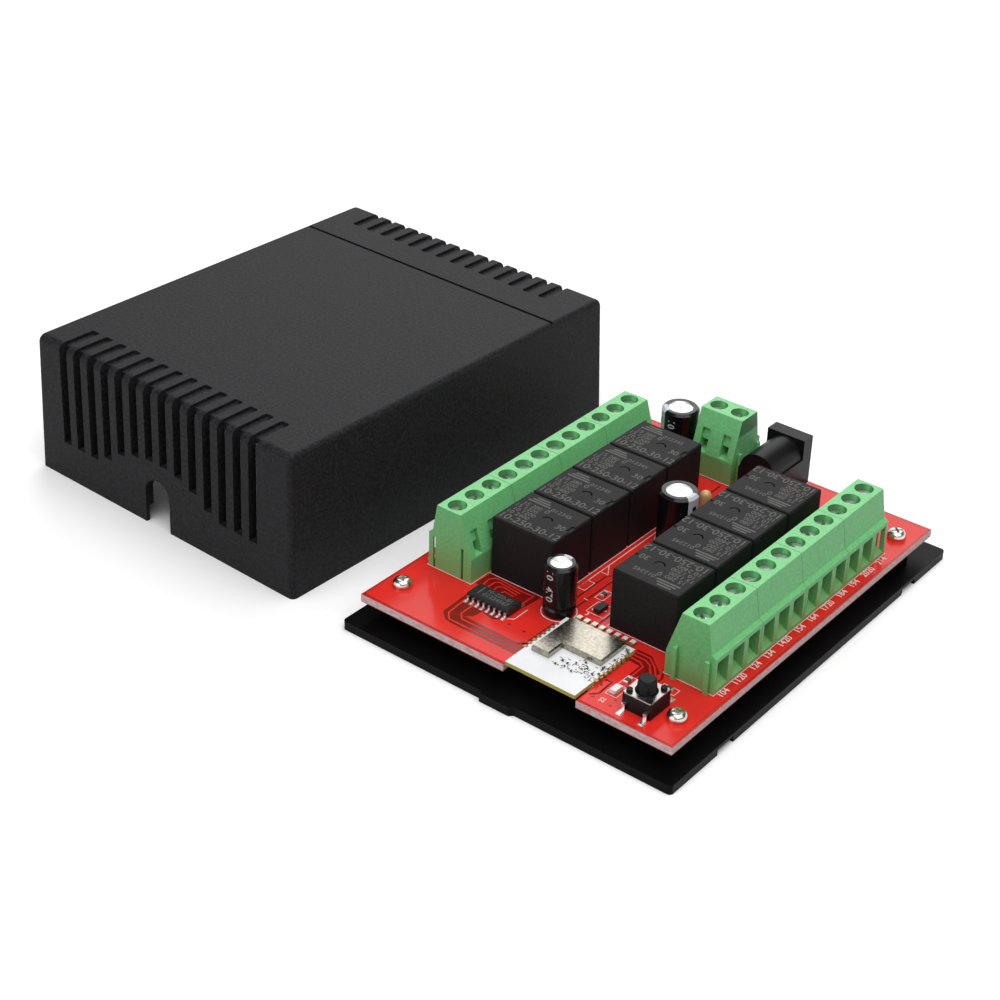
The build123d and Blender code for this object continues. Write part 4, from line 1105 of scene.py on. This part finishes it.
class RELAYBOARD_OT_module(bpy.types.Operator):
    """White radio module with a nickel shield, contacts, fine traces and small parts"""

    bl_idname = "relayboard.module"
    bl_label = "Radio module"

    def execute(self, context):
        board = laminate(
            "module_lacquer", (0.8, 0.81, 0.83), (0.62, 0.52, 0.1), (0.5, 0.4, 0.08),
            roughness=0.3,
        )
        give_finish(board, "module_board")
        give_finish(self.shield_finish(), "module_shield")
        give_finish(self.contact_finish(), "module_pads")
        self.add_bits((node_top("module_board") - BOARD_HIGH.z) / MM)
        return {"FINISHED"}

    def shield_finish(self):
        """Drawn nickel: dull, mottled and a little wavy."""
        finish, tree, shader = start_finish(
            "shield_nickel", (0.6, 0.56, 0.48), roughness=0.3, metallic=1.0,
        )
        mottle = noise_of(tree, 1400, detail=4, roughness=0.75)
        tint = ramp_of(tree, mottle, [(0.3, (0.24, 0.22, 0.18)), (0.7, (0.5, 0.47, 0.4))])
        tree.links.new(tint, shader.inputs["Base Color"])
        vary_roughness(tree, shader, mottle, 0.16, 0.36)
        add_bump(tree, shader, noise_of(tree, 320, detail=3), 0.5, 0.05 * MM)
        return finish

    def contact_finish(self):
        """Copper brown, with pale tin on the upward faces of the contacts at the module's back:
        partly real tin, partly a painted highlight.
        """
        finish, tree, shader = start_finish(
            "contact_copper", (0.5, 0.3, 0.14), roughness=0.34, metallic=0.55,
        )
        faces_up = math_of(tree, "GREATER_THAN", split_axes(tree, surface_normal(tree))["Z"], 0.5)
        streak = noise_of(tree, 2600, detail=2)
        brown = ramp_of(tree, streak, [(0.35, (0.2, 0.1, 0.035)), (0.65, (0.55, 0.34, 0.16))])
        tin = ramp_of(tree, streak, [(0.35, (0.72, 0.7, 0.66)), (0.65, (0.88, 0.88, 0.86))])
        along = split_axes(tree, object_position(tree))["Y"]
        at_back = math_of(tree, "GREATER_THAN", along, on_board(0, TINNED_FROM).y)
        # Upward faces turn pale: partly real tin, partly a painted highlight
        tinned = math_of(tree, "MULTIPLY", faces_up, at_back)
        tree.links.new(mix_colour(tree, tinned, brown, tin), shader.inputs["Base Color"])
        metallic = math_of(tree, "MULTIPLY_ADD", tinned, -0.45, 0.55)
        tree.links.new(metallic, shader.inputs["Metallic"])
        return finish

    def add_bits(self, level):
        """Fine traces, small parts and solder dots in the open corner beside the shield."""
        chance = random.Random(BITS_SEED)
        traces = []
        bodies = []
        ends = []
        for bit in range(BITS):
            strip = FRONT_STRIP if bit % 4 else SIDE_STRIP
            x, y = [chance.uniform(*reach) for reach in strip]
            turn = math.pi / 2 * chance.randrange(2)
            length = chance.uniform(*TRACE_LENGTHS)
            trace = Vector((length, TRACE_WIDTH, TRACE_THICKNESS)) * MM
            traces.append((on_board(x, y, level + TRACE_THICKNESS / 2), trace, turn, 0))
            if bit % 3:
                continue
            place = on_board(x, y, level + BIT_SIZE[2] / 2)
            bodies.append((place, Vector(BIT_SIZE) * MM, turn, BIT_BEVEL))
            for side in (-1, 1):
                offset = Matrix.Rotation(turn, 3, "Z") @ Vector((side * BIT_END_REACH, 0, 0))
                place = on_board(x, y, level + BIT_END_SIZE[2] / 2) + offset
                ends.append((place, Vector(BIT_END_SIZE) * MM, turn, BIT_BEVEL))
        black = ink("module_ink", (0.02, 0.02, 0.022))
        place_piece("module_traces", mesh_from_boxes(traces), black)
        brown = moulded_plastic("module_part_brown", (0.1, 0.06, 0.04), roughness=0.5)
        place_piece("module_small_parts", mesh_from_boxes(bodies), brown)
        tin = bpy.data.materials["lead_tin"]
        place_piece("module_part_ends", mesh_from_boxes(ends), tin)
        start = (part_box("module_board")[0][1] - BOARD_LOW.y) / MM + CONTACT_START
        solder = [
            on_board(x, start + CONTACT_PITCH * order, level * CONTACT_LEVEL)
            for x in CONTACT_COLUMNS for order in range(CONTACTS)
        ]
        place_studs(
            "module_solder", solder, radius=0.3, top_radius=0.12, height=0.32, sides=10,
            finish=tin,
        )


# Marks on the driver chip: text, place across and along from its middle, size
CHIP_FIGURES = (
    ("10-250-81", 0.9, 0.65, 1.5),
    ("01234567", 0.9, -0.75, 1.5),
    ("|", -3.1, 0.2, 2.6),
)


class RELAYBOARD_OT_chip(bpy.types.Operator):
    """Moulded driver chip with a bar and plain figures, and the transistors"""

    bl_idname = "relayboard.chip"
    bl_label = "Driver chip"

    def execute(self, context):
        black = moulded_plastic("chip_plastic", (0.016, 0.016, 0.017), roughness=0.42, depth=0.01)
        give_finish(black, "driver_chip", "transistors")
        middle = node_middle("driver_chip")
        top = node_top("driver_chip") + LIFT / 2
        words = []
        for figures, across, along, height in CHIP_FIGURES:
            place = Vector((middle.x + across * MM, middle.y + along * MM, top))
            words.append((figures, place, 0, height * MM))
        grey = ink("chip_ink", (0.14, 0.14, 0.14))
        place_piece("chip_figures", print_mesh(words), grey)
        return {"FINISHED"}


class RELAYBOARD_OT_button(bpy.types.Operator):
    """Black push button with a nickel plate"""

    bl_idname = "relayboard.button"
    bl_label = "Push button"

    def execute(self, context):
        black = moulded_plastic(
            "button_plastic", (0.01, 0.01, 0.011), roughness=0.45, depth=0.012, gloss=0.15,
        )
        give_finish(black, "button_body", "button_plunger")
        plate = plated_metal(
            "button_nickel", (0.42, 0.4, 0.38), roughness=0.25, grain=600, stretch=(1, 8, 1),
        )
        give_finish(plate, "button_plate", "button_dome")
        return {"FINISHED"}


# Small two-ended parts on the board: place, and whether they lie across the board
CHIP_PARTS = [(54.28, 10.4, False), (61.2, 13.3, True), (34.95, 29.6, False), (39.6, 30.6, False)]
CHIP_PART_LENGTH = 1.7
CHIP_PART_WIDTH = 0.9
CHIP_PART_HEIGHT = 0.55
# Their tinned ends: length, how far their middles are in from the part's ends, how much wider
# and higher than the part they are, bevel
END_LENGTH = 0.4
END_INSET = 0.12
END_MARGIN = 0.06
END_BEVEL = 0.04 * MM
# The indicator lamp's tinned ends: size and bevel
LAMP_END_SIZE = (1.34 * MM, 0.5 * MM, 0.5 * MM)
LAMP_END_BEVEL = 0.05 * MM


class RELAYBOARD_OT_small_parts(bpy.types.Operator):
    """Lamp, resistors, small capacitors and the dipped bead"""

    bl_idname = "relayboard.small_parts"
    bl_label = "Small parts"

    def execute(self, context):
        tin = bpy.data.materials["lead_tin"]
        give_finish(self.lamp_finish(), "indicator_lamp")
        bead = moulded_plastic(
            "bead_resin", (0.6, 0.36, 0.15), roughness=0.3, grain=900, depth=0.03, coat=0.5,
        )
        give_finish(bead, "bead_capacitor")
        brown = moulded_plastic("chip_part_body", (0.1, 0.06, 0.05), roughness=0.45)
        give_finish(brown, "chip_parts")
        width = CHIP_PART_WIDTH + END_MARGIN
        height = CHIP_PART_HEIGHT + END_MARGIN
        size = Vector((END_LENGTH * MM, width * MM, height * MM))
        ends = []
        for x, y, turned in CHIP_PARTS:
            angle = 0 if turned else math.pi / 2
            for side in (-1, 1):
                reach = side * (CHIP_PART_LENGTH / 2 - END_INSET) * MM
                offset = Matrix.Rotation(angle, 3, "Z") @ Vector((reach, 0, 0))
                middle = on_board(x, y, CHIP_PART_HEIGHT / 2) + offset
                ends.append((middle, size, angle, END_BEVEL))
        low, high = [Vector(corner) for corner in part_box("indicator_lamp")]
        for y in (low.y, high.y):
            middle = Vector(((low.x + high.x) / 2, y, low.z + LAMP_END_SIZE[2] / 2))
            ends.append((middle, Vector(LAMP_END_SIZE), 0, LAMP_END_BEVEL))
        place_piece("part_ends", mesh_from_boxes(ends), tin)
        return {"FINISHED"}

    def lamp_finish(self):
        """Cloudy resin that lets some light in."""
        finish, tree, shader = start_finish(
            "lamp_resin", (0.82, 0.82, 0.78), roughness=0.3, coat=0.3,
        )
        cloud = noise_of(tree, 1200, detail=2)
        tint = ramp_of(tree, cloud, [(0.3, (0.72, 0.7, 0.62)), (0.7, (0.85, 0.85, 0.82))])
        tree.links.new(tint, shader.inputs["Base Color"])
        shader.inputs["Subsurface Weight"].default_value = 0.3
        shader.inputs["Subsurface Scale"].default_value = 0.4 * MM
        return finish


# Solder below the board: height of a cone, its radius at the tip and at the board, its sides
CONE_HEIGHT = 0.9
CONE_TIP = 0.45
CONE_FOOT = 1.0
CONE_SIDES = 14
# Pads under the chip's and the button's leads: places from their middles, sizes, and the
# bevel and height above the lacquer of all of them
CHIP_LEADS = 8
CHIP_LEAD_PITCH = 1.27
CHIP_PAD_OUT = 2.85
CHIP_PAD_SIZE = (0.6 * MM, 1.1 * MM, 0.05 * MM)
BUTTON_PAD_ACROSS = 2.3
BUTTON_PAD_OUT = 4.5
BUTTON_PAD_SIZE = (1.1 * MM, 1.3 * MM, 0.05 * MM)
PAD_BEVEL = 0.015 * MM
PAD_LEVEL = 0.02


class RELAYBOARD_OT_solder(bpy.types.Operator):
    """Tinned pads under the leads and solder cones under the board"""

    bl_idname = "relayboard.solder"
    bl_label = "Solder"

    def execute(self, context):
        tin = bpy.data.materials["lead_tin"]
        level = BOARD_LOW.z - CONE_HEIGHT * MM
        below = []
        for name in ("terminal_cages", "relay_pins", "capacitor_leads", "bead_leads", "jack_tabs"):
            below += [Vector((x, y, level)) for x, y in pin_places(name)]
        place_studs(
            "solder_cones", below, CONE_TIP, CONE_FOOT, CONE_HEIGHT, CONE_SIDES, tin,
        )
        chip_x, chip_y = footprint("driver_chip", 0)[:2]
        button_x, button_y = footprint("button_body", 0)[:2]
        pads = []
        for side in (-1, 1):
            for lead in range(CHIP_LEADS):
                x = chip_x + (lead - (CHIP_LEADS - 1) / 2) * CHIP_LEAD_PITCH
                place = on_board(x, chip_y + side * CHIP_PAD_OUT, PAD_LEVEL)
                pads.append((place, Vector(CHIP_PAD_SIZE), 0, PAD_BEVEL))
            for across in (-BUTTON_PAD_ACROSS, BUTTON_PAD_ACROSS):
                place = on_board(button_x + across, button_y + side * BUTTON_PAD_OUT, PAD_LEVEL)
                pads.append((place, Vector(BUTTON_PAD_SIZE), 0, PAD_BEVEL))
        place_piece("solder_pads", mesh_from_boxes(pads), tin)
        return {"FINISHED"}


# How far below the board a pin counts, and the reach within which corners are of one pin
PIN_DEPTH = 0.5 * MM
PIN_REACH_X = 2.4 * MM
PIN_REACH_Y = 1.2 * MM


def pin_places(name):
    """Middles, seen from above, of the separate pins of a node that reach below the board."""
    shape = bmesh.new()
    shape.from_mesh(NODES[name].data)
    bmesh.ops.remove_doubles(shape, verts=shape.verts, dist=1e-6)
    corners = [vert.co.copy() for vert in shape.verts if vert.co.z < BOARD_LOW.z - PIN_DEPTH]
    shape.free()
    groups = []
    for corner in corners:
        for group in groups:
            first = group[0]
            if abs(first.x - corner.x) < PIN_REACH_X and abs(first.y - corner.y) < PIN_REACH_Y:
                group.append(corner)
                break
        else:
            groups.append([corner])
    return [(sum(group, Vector()) / len(group)).to_2d() for group in groups]


# The photograph's camera: its place in metres, its direction in degrees, and its lens, shift
# and sensor
CAMERA_PLACE = (0.17865, -0.27981, 0.2219)
CAMERA_AZIMUTH = 37.25
CAMERA_ELEVATION = 29.06
CAMERA_ROLL = 2.06
CAMERA_LENS = 72.76
CAMERA_SHIFT = (-0.0219, -0.0823)
CAMERA_SENSOR = 36
# The floor: its flat radius, the radius of its bend, its height, its corners, steps in the bend
FLOOR_REACH = 3.6
FLOOR_BEND = 0.5
FLOOR_HEIGHT = 1.5
FLOOR_SIDES = 72
FLOOR_BEND_STEPS = 8
# How far the floor lies below the part
FLOOR_DROP = 0.02 * MM
# The area lamps: name, place, size and power; then the place that they all face
LAMPS = (
    ("top_lamp", (0.28, -0.15, 1.04), 1.2, 12.0),
    ("back_lamp", (-0.62, 0.98, 0.92), 1.1, 8.8),
    ("front_lamp", (-0.3, -0.95, 0.5), 0.7, 2.6),
)
LAMP_AIM = (-0.03, 0.0, 0.01)
ROOM_STRENGTH = 0.1


class RELAYBOARD_OT_stage(bpy.types.Operator):
    """Pale floor, soft lamps and the camera"""

    bl_idname = "relayboard.stage"
    bl_label = "Stage"

    def execute(self, context):
        scene = context.scene
        self.add_floor()
        self.add_world(scene)
        for name, place, size, power in LAMPS:
            self.add_lamp(name, place, size, power * sizes().lamp_strength)
        self.add_camera(scene)
        scene.view_settings.view_transform = "Standard"
        return {"FINISHED"}

    def add_floor(self):
        """A studio sweep: a flat floor that curves up into a low wall all round."""
        outline = [(0.4, 0.0), (1.2, 0.0), (FLOOR_REACH, 0.0)]
        for step in range(1, FLOOR_BEND_STEPS + 1):
            angle = math.pi / 2 * step / FLOOR_BEND_STEPS
            level = FLOOR_BEND * (1 - math.cos(angle))
            outline.append((FLOOR_REACH + FLOOR_BEND * math.sin(angle), level))
        outline.append((FLOOR_REACH + FLOOR_BEND, FLOOR_HEIGHT))
        points = []
        for radius, level in outline:
            for x, y in ring(0.0, 0.0, radius, FLOOR_SIDES):
                points.append((x, y, level - FLOOR_DROP))
        faces = [tuple(range(FLOOR_SIDES))]
        for row in range(len(outline) - 1):
            low, high = row * FLOOR_SIDES, (row + 1) * FLOOR_SIDES
            for step in range(FLOOR_SIDES):
                after = (step + 1) % FLOOR_SIDES
                faces.append((low + step, high + step, high + after, low + after))
        mesh = bpy.data.meshes.new("studio_sweep")
        mesh.from_pydata(points, [], faces)
        floor = bpy.data.objects.new("studio_sweep", mesh)
        bpy.context.scene.collection.objects.link(floor)
        mesh.materials.append(self.floor_finish())

    def floor_finish(self):
        """Pale paper, whitened where it is seen; ambient occlusion holds the whitening back close
        to what stands on it, a painted shadow.
        """
        finish = bpy.data.materials.new("floor_paper")
        finish.use_nodes = True
        tree = finish.node_tree
        tree.nodes.clear()
        path = tree.nodes.new("ShaderNodeLightPath")
        seen = path.outputs["Is Camera Ray"]
        for other in ("Is Glossy Ray", "Is Transmission Ray"):
            seen = math_of(tree, "MAXIMUM", seen, path.outputs[other])
        cover = tree.nodes.new("ShaderNodeAmbientOcclusion")
        cover.samples = 4
        cover.inputs["Distance"].default_value = 0.1
        openness = math_of(tree, "POWER", cover.outputs["AO"], 1.5)
        length = tree.nodes.new("ShaderNodeVectorMath")
        length.operation = "LENGTH"
        tree.links.new(object_position(tree), length.inputs[0])
        far = tree.nodes.new("ShaderNodeMapRange")
        far.inputs["From Min"].default_value = 0.3
        far.inputs["From Max"].default_value = 0.9
        far.inputs["To Min"].default_value = 0.3
        far.inputs["To Max"].default_value = 1.0
        tree.links.new(length.outputs["Value"], far.inputs["Value"])
        # Painted shadow: the glow fades where ambient occlusion finds things close by
        glow = math_of(tree, "MULTIPLY", seen, openness)
        glow = math_of(tree, "MULTIPLY", glow, far.outputs["Result"])
        paper = tree.nodes.new("ShaderNodeBsdfDiffuse")
        shade = mix_colour(tree, seen, (0.35, 0.35, 0.35), (0.9, 0.9, 0.9))
        tree.links.new(shade, paper.inputs["Color"])
        bright = tree.nodes.new("ShaderNodeEmission")
        tree.links.new(glow, bright.inputs["Strength"])
        both = tree.nodes.new("ShaderNodeAddShader")
        output = tree.nodes.new("ShaderNodeOutputMaterial")
        tree.links.new(paper.outputs["BSDF"], both.inputs[0])
        tree.links.new(bright.outputs["Emission"], both.inputs[1])
        tree.links.new(both.outputs["Shader"], output.inputs["Surface"])
        return finish

    def add_world(self, scene):
        world = bpy.data.worlds.new("room")
        scene.world = world
        world.use_nodes = True
        room = world.node_tree.nodes["Background"]
        room.inputs["Color"].default_value = (1, 1, 1, 1)
        room.inputs["Strength"].default_value = ROOM_STRENGTH

    def add_lamp(self, name, place, size, power):
        lamp = bpy.data.lights.new(name, "AREA")
        lamp.shape = "SQUARE"
        lamp.size = size
        lamp.energy = power
        holder = bpy.data.objects.new(name, lamp)
        bpy.context.scene.collection.objects.link(holder)
        holder.location = place
        aim = Vector(LAMP_AIM) - Vector(place)
        holder.rotation_euler = aim.to_track_quat("-Z", "Y").to_euler()

    def add_camera(self, scene):
        azimuth = math.radians(CAMERA_AZIMUTH)
        elevation = math.radians(CAMERA_ELEVATION)
        roll = math.radians(CAMERA_ROLL)
        ahead = Vector((
            -math.sin(azimuth) * math.cos(elevation),
            math.cos(azimuth) * math.cos(elevation),
            -math.sin(elevation),
        ))
        right = ahead.cross(Vector((0, 0, 1))).normalized()
        up = right.cross(ahead)
        right_rolled = right * math.cos(roll) + up * math.sin(roll)
        up_rolled = up * math.cos(roll) - right * math.sin(roll)
        turn = Matrix((right_rolled, up_rolled, -ahead)).transposed().to_4x4()
        lens = bpy.data.cameras.new("photo_camera")
        lens.sensor_width = CAMERA_SENSOR
        lens.lens = CAMERA_LENS
        lens.shift_x, lens.shift_y = CAMERA_SHIFT
        lens.clip_start = 0.01
        holder = bpy.data.objects.new("photo_camera", lens)
        scene.collection.objects.link(holder)
        holder.matrix_world = Matrix.Translation(CAMERA_PLACE) @ turn
        scene.camera = holder


class RELAYBOARD_PT_panel(bpy.types.Panel):
    """Lists the board's settings and the steps that dress it"""

    bl_label = "Relay board"
    bl_idname = "RELAYBOARD_PT_panel"
    bl_space_type = "VIEW_3D"
    bl_region_type = "UI"
    bl_category = "Relay Board"

    def draw(self, context):
        for group in (context.scene.relay_board_colours, context.scene.relay_board_sizes):
            for name in group.__annotations__:
                self.layout.prop(group, name)
        for step in STEPS:
            self.layout.operator(step.bl_idname)


# In the order in which they run
STEPS = (
    RELAYBOARD_OT_case,
    RELAYBOARD_OT_board,
    RELAYBOARD_OT_tracks,
    RELAYBOARD_OT_board_print,
    RELAYBOARD_OT_metal,
    RELAYBOARD_OT_terminals,
    RELAYBOARD_OT_relays,
    RELAYBOARD_OT_capacitors,
    RELAYBOARD_OT_socket,
    RELAYBOARD_OT_module,
    RELAYBOARD_OT_chip,
    RELAYBOARD_OT_button,
    RELAYBOARD_OT_small_parts,
    RELAYBOARD_OT_solder,
    RELAYBOARD_OT_stage,
)
CLASSES = (RelayBoardColours, RelayBoardSizes, *STEPS, RELAYBOARD_PT_panel)


def register():
    for item in CLASSES:
        bpy.utils.register_class(item)
    bpy.types.Scene.relay_board_colours = bpy.props.PointerProperty(type=RelayBoardColours)
    bpy.types.Scene.relay_board_sizes = bpy.props.PointerProperty(type=RelayBoardSizes)


def unregister():
    del bpy.types.Scene.relay_board_sizes
    del bpy.types.Scene.relay_board_colours
    for item in reversed(CLASSES):
        bpy.utils.unregister_class(item)


def main():
    register()
    bpy.ops.relayboard.case()
    bpy.ops.relayboard.board()
    bpy.ops.relayboard.tracks()
    bpy.ops.relayboard.board_print()
    bpy.ops.relayboard.metal()
    bpy.ops.relayboard.terminals()
    bpy.ops.relayboard.relays()
    bpy.ops.relayboard.capacitors()
    bpy.ops.relayboard.socket()
    bpy.ops.relayboard.module()
    bpy.ops.relayboard.chip()
    bpy.ops.relayboard.button()
    bpy.ops.relayboard.small_parts()
    bpy.ops.relayboard.solder()
    bpy.ops.relayboard.stage()


if __name__ == "__main__":
    main()
